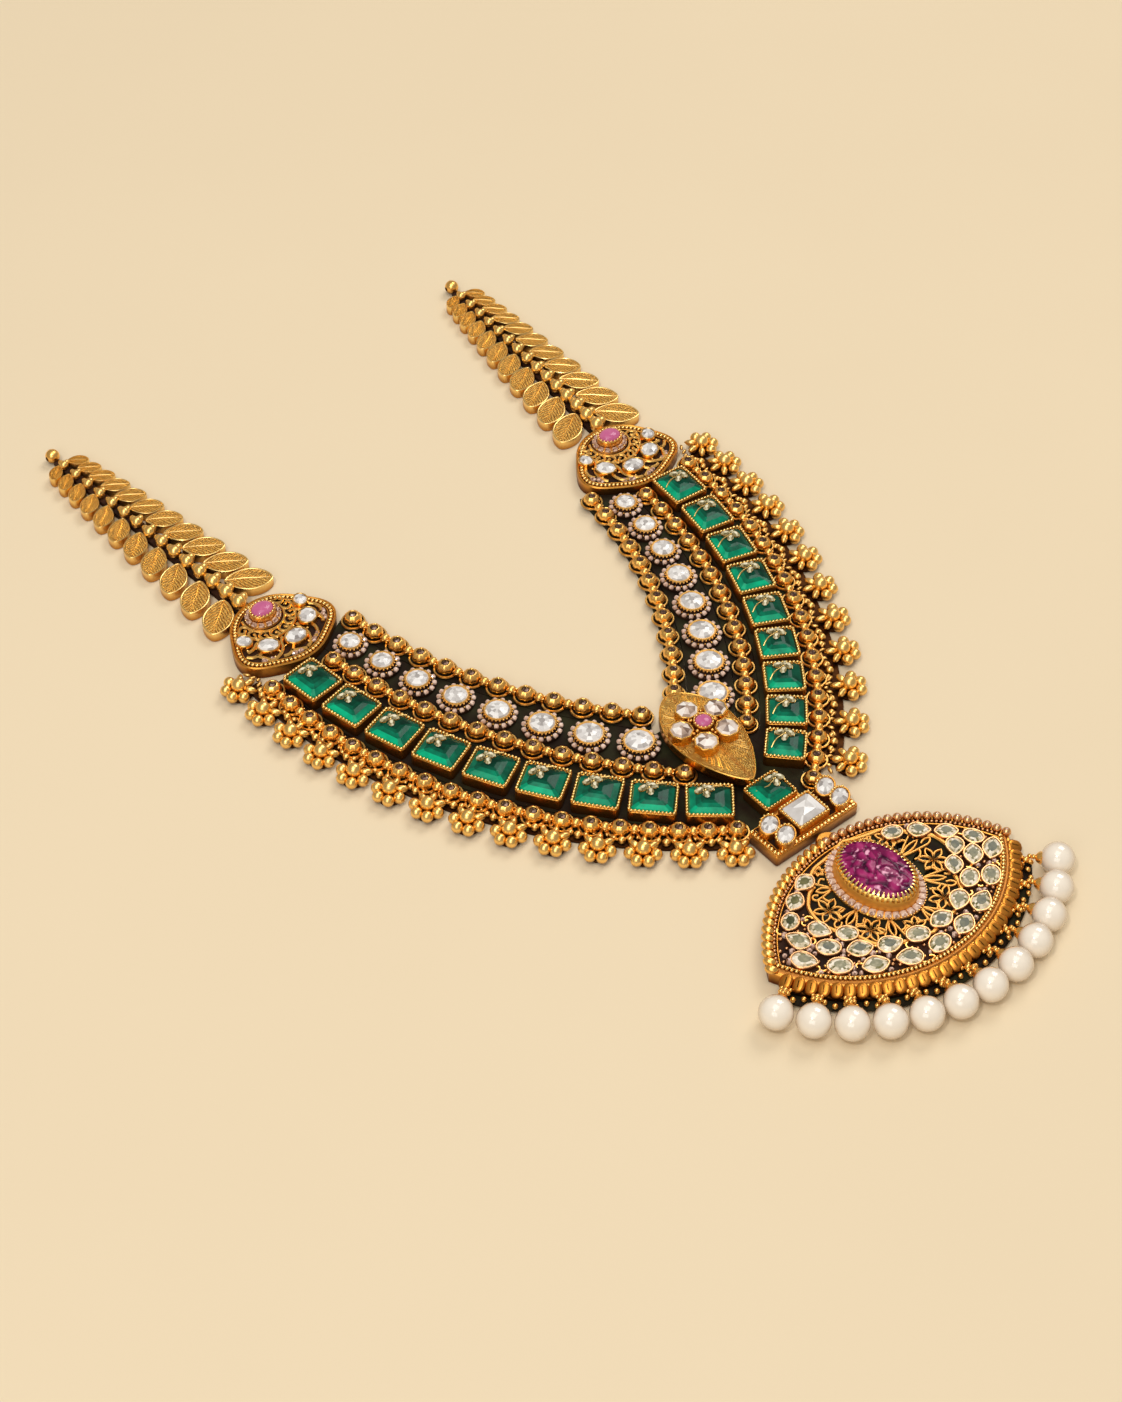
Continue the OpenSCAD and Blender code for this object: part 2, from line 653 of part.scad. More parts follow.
module pendant_polki() {
    h = pendant_t;
    color("beige") on_pendant() for (p = arc_stones) translate([p[0], p[1]]) rotate(p[2])
        cut_stone(oval(p[3] - 2 * play, p[4] - 2 * play, 8),
            [[h + sink, 0.85], [h + 0.6, 1], [h + 1.3, 0.5]]);
}

// Pearls on pins, each against a cap that follows it
function pearl_turn(i) = pearl_first + (pearl_last - pearl_first) * i / (pearls - 1);
pearl_r = pearl_d / 2;
rail_r = lower_r + 2.6;
rail_w = 0.9;
pin_l = 3;

module pearl_hangers() {
    color("goldenrod") on_pendant() {
        linear_extrude(2.4) polygon(concat(
            edge(rail_r, 0, pearl_first - 1, pearl_last + 1, 40),
            edge(rail_r + rail_w, 0, pearl_last + 1, pearl_first - 1, 40)
        ));
        for (i = [0 : pearls - 1]) rotate(pearl_turn(i)) {
            difference() {
                translate([pearl_arc - pearl_r - 0.7, 0, pearl_r]) sphere(r = 1.5);
                translate([pearl_arc, 0, pearl_r]) sphere(r = pearl_r + 0.1);
            }
            translate([pearl_arc - pearl_r - 1, 0, pearl_r]) rotate([0, 90, 0]) cylinder(r = 0.35, h = pin_l);
        }
    }
}

module pearl(i) {
    color("seashell") on_pendant() rotate(pearl_turn(i)) translate([pearl_arc, 0, pearl_r]) difference() {
        sphere(r = pearl_r);
        translate([-pearl_r - 1, 0, 0]) rotate([0, 90, 0]) cylinder(r = 0.45, h = pin_l + 0.3);
    }
}

leaf_chain(true);  // left_leaf_chain
leaf_chain(false);  // right_leaf_chain
end_plate(true);  // left_end_plate
end_plate(false);  // right_end_plate
end_ruby(true);  // left_end_ruby
end_ruby(false);  // right_end_ruby
end_polki(true);  // left_end_polki
end_polki(false);  // right_end_polki
cup_rows(true);  // left_cup_rows
cup_rows(false);  // right_cup_rows
emerald_settings(true);  // left_emerald_settings
emerald_settings(false);  // right_emerald_settings
polki_settings(true);  // left_polki_settings
polki_settings(false);  // right_polki_settings
polki_stones(true);  // left_polki_stones
polki_stones(false);  // right_polki_stones
flower_fringe(true);  // left_flower_fringe
flower_fringe(false);  // right_flower_fringe
centre_leaf();
centre_flower_stones();
centre_ruby();
connector_plate();
connector_square_stone();
connector_oval_stones();
centre_emerald();
pendant_plate();
pendant_ruby();
pendant_polki();
pearl_hangers();
for (i = [1 : emeralds]) emerald(true, i - 1);
for (i = [1 : emeralds]) emerald(false, i - 1);
for (i = [1 : pearls]) pearl(i - 1);
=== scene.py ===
import math
import random
import bpy
import bmesh
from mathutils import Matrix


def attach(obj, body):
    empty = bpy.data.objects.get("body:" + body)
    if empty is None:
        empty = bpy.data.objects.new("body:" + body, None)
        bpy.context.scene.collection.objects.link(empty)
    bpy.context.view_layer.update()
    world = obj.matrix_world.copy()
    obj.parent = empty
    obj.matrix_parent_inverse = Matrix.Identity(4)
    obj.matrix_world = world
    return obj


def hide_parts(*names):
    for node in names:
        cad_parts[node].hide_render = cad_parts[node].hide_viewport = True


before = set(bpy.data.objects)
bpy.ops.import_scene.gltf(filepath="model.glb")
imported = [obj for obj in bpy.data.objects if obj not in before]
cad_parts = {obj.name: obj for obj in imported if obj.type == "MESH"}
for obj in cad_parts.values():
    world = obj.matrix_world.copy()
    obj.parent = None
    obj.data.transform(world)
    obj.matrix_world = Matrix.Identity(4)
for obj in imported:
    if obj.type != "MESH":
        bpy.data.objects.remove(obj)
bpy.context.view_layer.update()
scene = bpy.context.scene
print("stage: frame loaded")

# Sizes are in millimetres about the middle of the necklace, as in the part's source.
# The lay moves them to the part's own origin.
lay = {"x": 4.4, "y": -61.3}


def cosd(angle):
    return math.cos(math.radians(angle))


def sind(angle):
    return math.sin(math.radians(angle))


def polar(r, angle, x=0.0, y=0.0):
    return x + r * cosd(angle), y + r * sind(angle)


def turned(px, py, turn, x=0.0, y=0.0):
    # A point turned about the origin and then moved
    return x + px * cosd(turn) - py * sind(turn), y + px * sind(turn) + py * cosd(turn)


def toWorld(point):
    return ((point[0] + lay["x"]) * 0.001, (point[1] + lay["y"]) * 0.001, point[2] * 0.001)


# Shapes: a shape is its points, its faces and one tone for each face
def shape(points, faces):
    return points, faces, [0.5] * len(faces)


def joined(shapes):
    points, faces, tones = [], [], []
    for somePoints, someFaces, someTones in shapes:
        base = len(points)
        points += somePoints
        faces += [tuple(k + base for k in face) for face in someFaces]
        tones += someTones
    return points, faces, tones


def placed(one, x=0.0, y=0.0, z=0.0, turn=0.0, size=1.0, stretch=(1, 1, 1)):
    c, s = cosd(turn), sind(turn)
    points = []
    for px, py, pz in one[0]:
        px, py, pz = px * size * stretch[0], py * size * stretch[1], pz * size * stretch[2]
        points.append((x + px * c - py * s, y + px * s + py * c, z + pz))
    return points, one[1], one[2]


def lying(one):
    # Turns an upright shape to lie along X
    return [(z, x, y) for x, y, z in one[0]], one[1], one[2]


def mirrored(one):
    return [(-x, y, z) for x, y, z in one[0]], [tuple(reversed(face)) for face in one[1]], one[2]


def atHeight(outline, z):
    return [(x, y, z) for x, y in outline]


def inset(outline, depth):
    result = []
    for i, (x, y) in enumerate(outline):
        ax, ay = outline[i - 1]
        bx, by = outline[(i + 1) % len(outline)]
        size = math.hypot(bx - ax, by - ay) or 1.0
        result.append((x - (by - ay) / size * depth, y + (bx - ax) / size * depth))
    return result


def web(rows, count, closed=True):
    # Faces between neighbouring rows of points, each row a closed ring
    faces = []
    for j in range(rows if closed else rows - 1):
        low, high = j * count, (j + 1) % rows * count
        for k in range(count):
            m = (k + 1) % count
            faces.append((low + k, low + m, high + m, high + k))
    return faces


def stack(layers):
    # Rings of points one above another, closed at both ends
    count, last = len(layers[0]), (len(layers) - 1) * len(layers[0])
    faces = [tuple(reversed(range(count)))] + web(len(layers), count, False)
    faces.append(tuple(range(last, last + count)))
    return shape([p for ring in layers for p in ring], faces)


def slab(outline, low, high):
    return stack([atHeight(outline, low), atHeight(outline, high)])


def block(outline, levels):
    # A solid over an outline; each level is a height and an inset
    return stack([atHeight(inset(outline, depth), z) for z, depth in levels])


def collar(outline, wall, low, high, seat, soft=0.1):
    # A wall over an outline with a pocket down to its seat
    return block(outline, [
        (low, 0.0), (high - soft, 0.0), (high, soft), (high, wall - soft), (high - soft, wall), (seat, wall)])


def ringWall(outline, wall, low, high, soft=0.1):
    # A wall over an outline, open right through
    levels = [(low, 0.0), (high - soft, 0.0), (high, soft), (high, wall - soft), (high - soft, wall),
              (low, wall)]
    return shape([p for z, depth in levels for p in atHeight(inset(outline, depth), z)],
                 web(len(levels), len(outline)))


def lathe(profile, count, lobes=0, depth=0.0):
    # A turned solid; a profile point on the axis closes it there
    points, faces, rings = [], [], []
    for r, z in profile:
        if r < 1e-6:
            rings.append([len(points)])
            points.append((0.0, 0.0, z))
            continue
        rings.append(list(range(len(points), len(points) + count)))
        for k in range(count):
            t = 360 * k / count
            s = r * (1 - depth * max(0.0, cosd(lobes * t)) ** 4) if lobes else r
            points.append(polar(s, t) + (z,))
    for low, high in zip(rings, rings[1:]):
        for k in range(count):
            m = (k + 1) % count
            if len(low) == 1:
                faces.append((low[0], high[m], high[k]))
            elif len(high) == 1:
                faces.append((low[k], low[m], high[0]))
            else:
                faces.append((low[k], low[m], high[m], high[k]))
    if len(rings[0]) > 1:
        faces.append(tuple(reversed(rings[0])))
    if len(rings[-1]) > 1:
        faces.append(tuple(rings[-1]))
    return shape(points, faces)


def ball(r, count, rings, z=0.0):
    profile = [(r * sind(180 * k / rings), z - r * cosd(180 * k / rings)) for k in range(rings + 1)]
    return lathe([(0.0 if k in (0, rings) else p[0], p[1]) for k, p in enumerate(profile)], count)


def hoop(r, wire, z, count):
    points, wireSides = [], 6
    for k in range(count):
        for j in range(wireSides):
            t = 360 * j / wireSides
            points.append(polar(r + wire * cosd(t), 360 * k / count) + (z + wire * sind(t),))
    return shape(points, web(count, wireSides))


def cutStone(outline, levels, light=None, spread=0.18, seed=1, table=None, base=0.5):
    # Levels of height and scale over an outline; each facet has a tone of its own, random, and where a light
    # direction is given also painted light: lighter on facets that face that way
    points, faces = stack([[(x * s, y * s, z) for x, y in outline] for z, s in levels])[:2]
    source = random.Random(seed)
    tones = []
    for face in faces:
        mx, my = (sum(points[k][axis] for k in face) / len(face) for axis in (0, 1))
        size = math.hypot(mx, my)
        toward = (mx * light[0] + my * light[1]) / size if light and len(face) == 4 and size > 1e-6 else 0.0
        tones.append(min(1.0, max(0.0, base + 0.42 * toward + source.uniform(-spread, spread))))
    if table is not None:
        tones[-1] = table
    return points, faces, tones


def oval(l, w, count):
    return [(l / 2 * cosd(360 * k / count), w / 2 * sind(360 * k / count)) for k in range(count)]


def roundBox(l, w, corner, steps=3):
    # Corner arcs joined by straight sides
    return [polar(corner, start + 90 * k / steps, cx * (l / 2 - corner), cy * (w / 2 - corner))
            for cx, cy, start in ((1, -1, -90), (1, 1, 0), (-1, 1, 90), (-1, -1, 180))
            for k in range(steps + 1)]


def leafHalf(t, w, fullness, blunt):
    return w / 2 * max(0.0, sind(180 * t ** fullness)) ** blunt


def leafOutline(l, w, fullness, count, blunt=0.75):
    steps = [(1 - cosd(180 * k / count)) / 2 for k in range(count + 1)]
    return ([(l * t, -leafHalf(t, w, fullness, blunt)) for t in steps]
            + [(l * t, leafHalf(t, w, fullness, blunt)) for t in steps[-2:0:-1]])


def ridge(path, width, height):
    # A low three-sided ridge along a path
    points = []
    for k, (x, y, z) in enumerate(path):
        ax, ay = path[max(k - 1, 0)][:2]
        bx, by = path[min(k + 1, len(path) - 1)][:2]
        size = math.hypot(bx - ax, by - ay) or 1.0
        nx, ny = -(by - ay) / size * width / 2, (bx - ax) / size * width / 2
        points += [(x - nx, y - ny, z - 0.05), (x + nx, y + ny, z - 0.05), (x, y, z + height)]
    last = 3 * len(path)
    return shape(points, web(len(path), 3, False) + [(0, 1, 2), (last - 1, last - 2, last - 3)])


def smoothPath(knots, steps):
    # A smooth curve through its knots
    path = []
    for i in range(len(knots) - 1):
        a, b, c, d = knots[max(i - 1, 0)], knots[i], knots[i + 1], knots[min(i + 2, len(knots) - 1)]
        for k in range(steps):
            t = k / steps
            path.append(tuple(
                0.5 * (2 * q + (r - p) * t + (2 * p - 5 * q + 4 * r - s) * t * t
                       + (3 * q - p - 3 * r + s) * t ** 3)
                for p, q, r, s in zip(a, b, c, d)))
    return path + [tuple(knots[-1])]


def arcPath(r, first, last, count, x=0.0, y=0.0):
    return [polar(r, first + (last - first) * k / count, x, y) for k in range(count + 1)]


def insidePath(x, y, outline):
    inside = False
    for (ax, ay), (bx, by) in zip(outline, outline[1:] + outline[:1]):
        if (ay > y) != (by > y) and x < (bx - ax) * (y - ay) / (by - ay) + ax:
            inside = not inside
    return inside


# Seats: x, y, turn and side of a piece's own frame, mirrored on the left side
def seatShape(seat, one):
    one = placed(one, seat[0], seat[1], 0, seat[2])
    return one if seat[3] == "right" else mirrored(one)


def seatPath(seat, path):
    points = [turned(px, py, seat[2], seat[0], seat[1]) + (pz,) for px, py, pz in path]
    return points if seat[3] == "right" else [(-px, py, pz) for px, py, pz in points]


def seatSpot(seat, px, py, z, turn, size, lean=0.0):
    x, y = turned(px, py, seat[2], seat[0], seat[1])
    return (x, y, z, seat[2] + turn, size, lean) if seat[3] == "right" else (
        -x, y, z, 180 - seat[2] - turn, size, lean)


# Pieces: a mesh of the part's own frame that rides on its body
def addObject(name, data):
    item = bpy.data.objects.new(name, data)
    scene.collection.objects.link(item)
    return item


def meshOf(name, one, inWorld=True, attribute=None):
    mesh = bpy.data.meshes.new(name)
    points = [toWorld(p) if inWorld else tuple(value * 0.001 for value in p) for p in one[0]]
    mesh.from_pydata(points, [], one[1])
    mesh.attributes.new("tone", "FLOAT", "FACE").data.foreach_set("value", one[2])
    work = bmesh.new()
    work.from_mesh(mesh)
    bmesh.ops.recalc_face_normals(work, faces=work.faces)
    work.to_mesh(mesh)
    work.free()
    if attribute:
        label, kind, member, values = attribute
        mesh.attributes.new(label, kind, "POINT").data.foreach_set(member, values)
    return mesh


def leafPlaces(places):
    # Tells the leaf material where each point is along and across the leaf
    return "leafPlace", "FLOAT_VECTOR", "vector", [value for place in places for value in place]


def softened(mesh, sharp=40):
    mesh.shade_smooth()
    mesh.set_sharp_from_angle(angle=math.radians(sharp))


def finishPiece(name, mesh, material=None, standsFor=(), sharp=40):
    if material:
        mesh.materials.clear()
        mesh.materials.append(material)
    softened(mesh, sharp)
    mesh.name = name
    piece = addObject(name, mesh)
    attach(piece, "root")
    if standsFor:
        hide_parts(*standsFor)


def makePiece(name, one, material, standsFor=(), sharp=40):
    finishPiece(name, meshOf(name, one), material, standsFor, sharp)


def makeStones(name, one, material, standsFor=()):
    makePiece(name, one, material, standsFor, 1)


# Node trees: settings belong to the node, values go to its inputs as constants or links
def feed(tree, node, values):
    for label, value in values.items():
        if isinstance(value, bpy.types.NodeSocket):
            tree.links.new(value, node.inputs[label])
        else:
            node.inputs[label].default_value = value


def newNode(tree, kind, values=None, **settings):
    node = tree.nodes.new(kind)
    for label, value in settings.items():
        setattr(node, label, value)
    feed(tree, node, values or {})
    return node


# Geometry Nodes: what repeats is set on points, laid along lines or drawn as wire
def newTree(name, inputs):
    tree = bpy.data.node_groups.new(name, "GeometryNodeTree")
    for label, kind in [("Guide", "Geometry")] + inputs + [("Finish", "Material")]:
        tree.interface.new_socket(label, in_out="INPUT", socket_type="NodeSocket" + kind)
    tree.interface.new_socket("Result", in_out="OUTPUT", socket_type="NodeSocketGeometry")
    return tree, newNode(tree, "NodeGroupInput").outputs


def closeTree(tree, given, geometry):
    realize = newNode(tree, "GeometryNodeRealizeInstances", {"Geometry": geometry})
    finish = newNode(tree, "GeometryNodeSetMaterial",
                     {"Geometry": realize.outputs[0], "Material": given["Finish"]})
    newNode(tree, "NodeGroupOutput", {"Result": finish.outputs[0]})
    return tree


def makeSetTree():
    # Copies of a small piece on the guide's points, turned and sized by the points
    tree, given = newTree("set on points", [("Piece", "Object")])
    own = {label: newNode(tree, "GeometryNodeInputNamedAttribute", {"Name": label}, data_type="FLOAT_VECTOR")
           for label in ("turn", "size")}
    info = newNode(tree, "GeometryNodeObjectInfo", {"Object": given["Piece"]})
    rotation = newNode(tree, "FunctionNodeEulerToRotation", {0: own["turn"].outputs["Attribute"]})
    copies = newNode(tree, "GeometryNodeInstanceOnPoints", {
        "Points": given["Guide"], "Instance": info.outputs["Geometry"], "Rotation": rotation.outputs[0],
        "Scale": own["size"].outputs["Attribute"]})
    return closeTree(tree, given, copies.outputs["Instances"])


def makeBeadTree():
    # Beads along the guide's lines, evenly spaced and turned with the line
    tree, given = newTree("beads on lines", [("Bead", "Object"), ("Spacing", "Float"), ("Slant", "Float")])
    info = newNode(tree, "GeometryNodeObjectInfo", {"Object": given["Bead"]})
    curve = newNode(tree, "GeometryNodeMeshToCurve", {"Mesh": given["Guide"]})
    spots = newNode(tree, "GeometryNodeCurveToPoints", {
        "Curve": curve.outputs["Curve"], "Length": given["Spacing"]}, mode="LENGTH")
    align = newNode(tree, "FunctionNodeAlignRotationToVector", {"Vector": spots.outputs["Tangent"]},
                    axis="X", pivot_axis="Z")
    slant = newNode(tree, "ShaderNodeCombineXYZ", {"Z": given["Slant"]})
    own = newNode(tree, "FunctionNodeEulerToRotation", {0: slant.outputs[0]})
    both = newNode(tree, "FunctionNodeRotateRotation",
                   {"Rotation": align.outputs[0], "Rotate By": own.outputs[0]},
                   rotation_space="LOCAL")
    copies = newNode(tree, "GeometryNodeInstanceOnPoints", {
        "Points": spots.outputs["Points"], "Instance": info.outputs["Geometry"], "Rotation": both.outputs[0]})
    return closeTree(tree, given, copies.outputs["Instances"])


def makeWireTree():
    # A wire of flat or round section along the guide's lines
    tree, given = newTree("wire on lines", [("Width", "Float"), ("Height", "Float")])
    curve = newNode(tree, "GeometryNodeMeshToCurve", {"Mesh": given["Guide"]})
    upright = newNode(tree, "GeometryNodeSetCurveNormal", {"Curve": curve.outputs["Curve"]}, mode="Z_UP")
    section = newNode(tree, "GeometryNodeCurvePrimitiveCircle", {"Resolution": 6, "Radius": 0.5})
    sizes = newNode(tree, "ShaderNodeCombineXYZ", {"X": given["Width"], "Y": given["Height"], "Z": 1.0})
    squash = newNode(tree, "GeometryNodeTransform",
                     {"Geometry": section.outputs["Curve"], "Scale": sizes.outputs[0]})
    sweep = newNode(tree, "GeometryNodeCurveToMesh", {
        "Curve": upright.outputs["Curve"], "Profile Curve": squash.outputs[0], "Fill Caps": True})
    return closeTree(tree, given, sweep.outputs["Mesh"])


setTree = makeSetTree()
beadTree = makeBeadTree()
wireTree = makeWireTree()


def pointsGuide(spots):
    # Each spot: x, y, z, turn in degrees, size, and if needed a lean
    mesh = bpy.data.meshes.new("guide")
    mesh.from_pydata([toWorld(spot) for spot in spots], [], [])
    turns = mesh.attributes.new("turn", "FLOAT_VECTOR", "POINT")
    sizes = mesh.attributes.new("size", "FLOAT_VECTOR", "POINT")
    for i, spot in enumerate(spots):
        lean = math.radians(spot[5]) if len(spot) > 5 else 0.0
        turns.data[i].vector = (0.0, lean, math.radians(spot[3]))
        sizes.data[i].vector = spot[4] if isinstance(spot[4], tuple) else (spot[4],) * 3
    return mesh


def linesGuide(paths):
    # Each path: its points and whether it closes
    points, edges = [], []
    for path, closed in paths:
        base = len(points)
        points += [toWorld(p) for p in path]
        edges += [(base + k, base + k + 1) for k in range(len(path) - 1)]
        if closed:
            edges.append((base + len(path) - 1, base))
    mesh = bpy.data.meshes.new("guide")
    mesh.from_pydata(points, edges, [])
    return mesh


def grow(name, guide, tree, values, standsFor=(), sharp=40):
    # Runs a tree on a guide and keeps the result as a plain mesh
    carrier = addObject("carrier", guide)
    modifier = carrier.modifiers.new("build", "NODES")
    modifier.node_group = tree
    for item in tree.interface.items_tree:
        if item.in_out == "INPUT" and item.name in values:
            modifier[item.identifier] = values[item.name]
    graph = bpy.context.evaluated_depsgraph_get()
    mesh = bpy.data.meshes.new_from_object(carrier.evaluated_get(graph), preserve_all_data_layers=True,
                                           depsgraph=graph)
    carrier.modifiers.remove(modifier)
    bpy.data.objects.remove(carrier)
    finishPiece(name, mesh, None, standsFor, sharp)


models = []


def model(name, one, attribute=None):
    # A small piece to copy, drawn about the origin and removed at the end
    mesh = meshOf(name, one, False, attribute)
    softened(mesh)
    item = addObject(name, mesh)
    models.append(item)
    return item


def setPieces(name, one, spots, material, standsFor=(), sharp=40, attribute=None):
    grow(name, pointsGuide(spots), setTree, {
        "Piece": model(name + "_model", one, attribute), "Finish": material}, standsFor, sharp)


def setStones(name, one, spots, material):
    setPieces(name, one, spots, material, (), 1)


def beadLine(name, bead, paths, spacing, material, slant=0.0):
    grow(name, linesGuide(paths), beadTree, {
        "Bead": model(name + "_model", bead), "Spacing": spacing * 0.001, "Slant": math.radians(slant),
        "Finish": material}, ())


def wireLine(name, paths, width, height, material):
    grow(name, linesGuide(paths), wireTree, {
        "Width": width * 0.001, "Height": height * 0.001, "Finish": material})


# Shader parts
def mathNode(tree, operation, *values, clamp=False):
    return newNode(tree, "ShaderNodeMath", dict(enumerate(values)), operation=operation,
                   use_clamp=clamp).outputs[0]


def scaled(tree, value, factor, shift=0.0, clamp=False):
    return mathNode(tree, "MULTIPLY_ADD", value, factor, shift, clamp=clamp)


def weighted(tree, a, shareA, b, shareB):
    return mathNode(tree, "MULTIPLY_ADD", a, shareA, scaled(tree, b, shareB))


def mixColour(tree, factor, a, b):
    return newNode(tree, "ShaderNodeMix", {0: factor, 6: a, 7: b}, data_type="RGBA").outputs[2]


def noiseNode(tree, scale, detail=2.0, rough=0.5):
    place = newNode(tree, "ShaderNodeTexCoord").outputs["Object"]
    return newNode(tree, "ShaderNodeTexNoise", {
        "Vector": place, "Scale": scale, "Detail": detail, "Roughness": rough}).outputs[0]


def rampNode(tree, value, steps):
    ramp = newNode(tree, "ShaderNodeValToRGB", {0: value})
    elements = ramp.color_ramp.elements
    while len(elements) < len(steps):
        elements.new(0.5)
    for element, (position, colour) in zip(elements, steps):
        element.position = position
        element.color = colour + (1,)
    return ramp.outputs[0]


def bumpTo(tree, shader, height, strength, distance):
    bump = newNode(tree, "ShaderNodeBump", {"Strength": strength, "Distance": distance, "Height": height})
    feed(tree, shader, {"Normal": bump.outputs[0]})


def newMaterial(name):
    material = bpy.data.materials.new(name)
    material.use_nodes = True
    return material, material.node_tree, material.node_tree.nodes["Principled BSDF"]


def attributeNode(tree, name):
    return newNode(tree, "ShaderNodeAttribute", attribute_name=name)


def makePatinaShadeGroup():
    # Old gold with painted shade: darker towards the bottom (the back) of the piece, where shade falls, with
    # patina in the hollows there too; darker or lighter in random worn patches, and lighter up high
    group = bpy.data.node_groups.new("patinaAndShade", "ShaderNodeTree")
    for label, kind, value in (("Gold", "Color", (0.8, 0.45, 0.12, 1)),
                               ("Dark", "Color", (0.05, 0.02, 0.006, 1)),
                               ("Low", "Float", 0.8), ("High", "Float", 3.0), ("Patch scale", "Float", 900.0),
                               ("Wear", "Float", 0.35)):
        socket = group.interface.new_socket(label, in_out="INPUT", socket_type="NodeSocket" + kind)
        socket.default_value = value
    for label, kind in (("Color", "Color"), ("Roughness", "Float"), ("Height", "Float")):
        group.interface.new_socket(label, in_out="OUTPUT", socket_type="NodeSocket" + kind)
    given = newNode(group, "NodeGroupInput").outputs
    place = newNode(group, "ShaderNodeTexCoord").outputs["Object"]
    height = scaled(group, newNode(group, "ShaderNodeSeparateXYZ", {0: place}).outputs["Z"], 1000.0)
    ramp = newNode(group, "ShaderNodeMapRange", {
        "Value": height, "From Min": given["Low"], "From Max": given["High"]},
                   interpolation_type="SMOOTHSTEP")
    patch = noiseNode(group, given["Patch scale"], 3.0)
    spread = mathNode(group, "MULTIPLY", mathNode(group, "SUBTRACT", patch, 0.5), given["Wear"])
    cleanAndLit = mathNode(group, "MULTIPLY_ADD", spread, 1.6, ramp.outputs["Result"], clamp=True)
    fine = noiseNode(group, 5200.0)
    newNode(group, "NodeGroupOutput", {
        "Color": mixColour(group, cleanAndLit, given["Dark"], given["Gold"]),
        "Roughness": weighted(group, fine, 0.22, cleanAndLit, -0.12),
        "Height": weighted(group, patch, 0.7, fine, 0.5)})
    return group


patinaShadeGroup = makePatinaShadeGroup()


def goldMaterial(name, gold, dark, low, high, wear, rough, patch=700.0, bump=0.25):
    material, tree, shader = newMaterial(name)
    patinaAndShade = newNode(tree, "ShaderNodeGroup", node_tree=patinaShadeGroup)
    feed(tree, patinaAndShade, {"Gold": gold + (1,), "Dark": dark + (1,), "Low": low, "High": high,
                        "Patch scale": patch, "Wear": wear})
    feed(tree, shader, {"Metallic": 1.0, "Base Color": patinaAndShade.outputs["Color"],
                        "Roughness": mathNode(tree, "ADD", patinaAndShade.outputs["Roughness"], rough)})
    bumpTo(tree, shader, patinaAndShade.outputs["Height"], bump, 0.00008)
    return material


# Each gold: its colour up high and its colour low down, where painted shade and patina darken it, and the
# heights between which it brightens
gold = goldMaterial("old_gold", (0.95, 0.55, 0.15), (0.045, 0.016, 0.005), 0.4, 2.4, 0.14, 0.27, bump=0.08)
# painted highlight: a lighter copy of the gold for the small beads, grains and wires that stand up into the
# light
goldBright = goldMaterial("highlight_gold", (1.0, 0.69, 0.25), (0.45, 0.19, 0.04), 0.8, 3.0, 0.10, 0.25,
                          bump=0.06)
# painted shade: a darker copy of the gold for the walls, which face away from the light
goldWall = goldMaterial("shaded_wall_gold", (0.74, 0.34, 0.06), (0.14, 0.042, 0.009), 0.0, 3.6, 0.25, 0.34,
                        bump=0.12)
goldDark = goldMaterial("shaded_gold", (0.38, 0.15, 0.032), (0.05, 0.017, 0.006), 0.4, 3.0, 0.3, 0.42)
goldSatin = goldMaterial("satin_gold", (1.0, 0.57, 0.155), (0.13, 0.045, 0.010), 0.3, 2.3, 0.08, 0.29, 500.0,
                         0.05)
goldFlower = goldMaterial("flower_gold", (1.0, 0.63, 0.20), (0.28, 0.11, 0.025), 0.3, 2.3, 0.08, 0.31, 500.0,
                          0.05)
roseGold = goldMaterial("rose_gold", (0.80, 0.44, 0.20), (0.22, 0.08, 0.035), 2.6, 3.9, 0.15, 0.30, bump=0.06)
bezelGold = goldMaterial("bezel_gold", (1.0, 0.68, 0.18), (0.86, 0.47, 0.09), 3.6, 8.0, 0.10, 0.42, bump=0.05)
scaleGold = goldMaterial("scale_gold", (0.68, 0.27, 0.04), (0.10, 0.030, 0.006), 1.9, 3.5, 0.12, 0.33,
                         bump=0.06)
jaliGold = goldMaterial("jali_gold", (0.74, 0.38, 0.095), (0.38, 0.16, 0.035), 2.6, 3.4, 0.12, 0.42,
                        bump=0.05)
leafRim = goldMaterial("leaf_rim_gold", (1.0, 0.68, 0.24), (0.55, 0.26, 0.06), 0.0, 2.3, 0.10, 0.30,
                       bump=0.05)
leafWall = goldMaterial("leaf_wall_gold", (0.84, 0.46, 0.10), (0.42, 0.17, 0.03), 2.6, 5.2, 0.2, 0.22)


def groundMaterial(name, low, high):
    # A dark ground with another cast in places; the near-black one is painted shade laid under and between
    # the pieces, where the gaps show only shade
    material, tree, shader = newMaterial(name)
    fine = noiseNode(tree, 2400.0)
    feed(tree, shader, {"Base Color": rampNode(tree, noiseNode(tree, 160.0, 3.0),
                                               [(0.40, low), (0.66, high)]),
                        "Roughness": scaled(tree, fine, 0.3, 0.6), "Specular IOR Level": 0.15})
    bumpTo(tree, shader, fine, 0.3, 0.0001)
    return material


ground = groundMaterial("shaded_dark_ground", (0.014, 0.007, 0.003), (0.026, 0.026, 0.009))
fieldGround = groundMaterial("brown_ground", (0.020, 0.008, 0.004), (0.052, 0.019, 0.008))


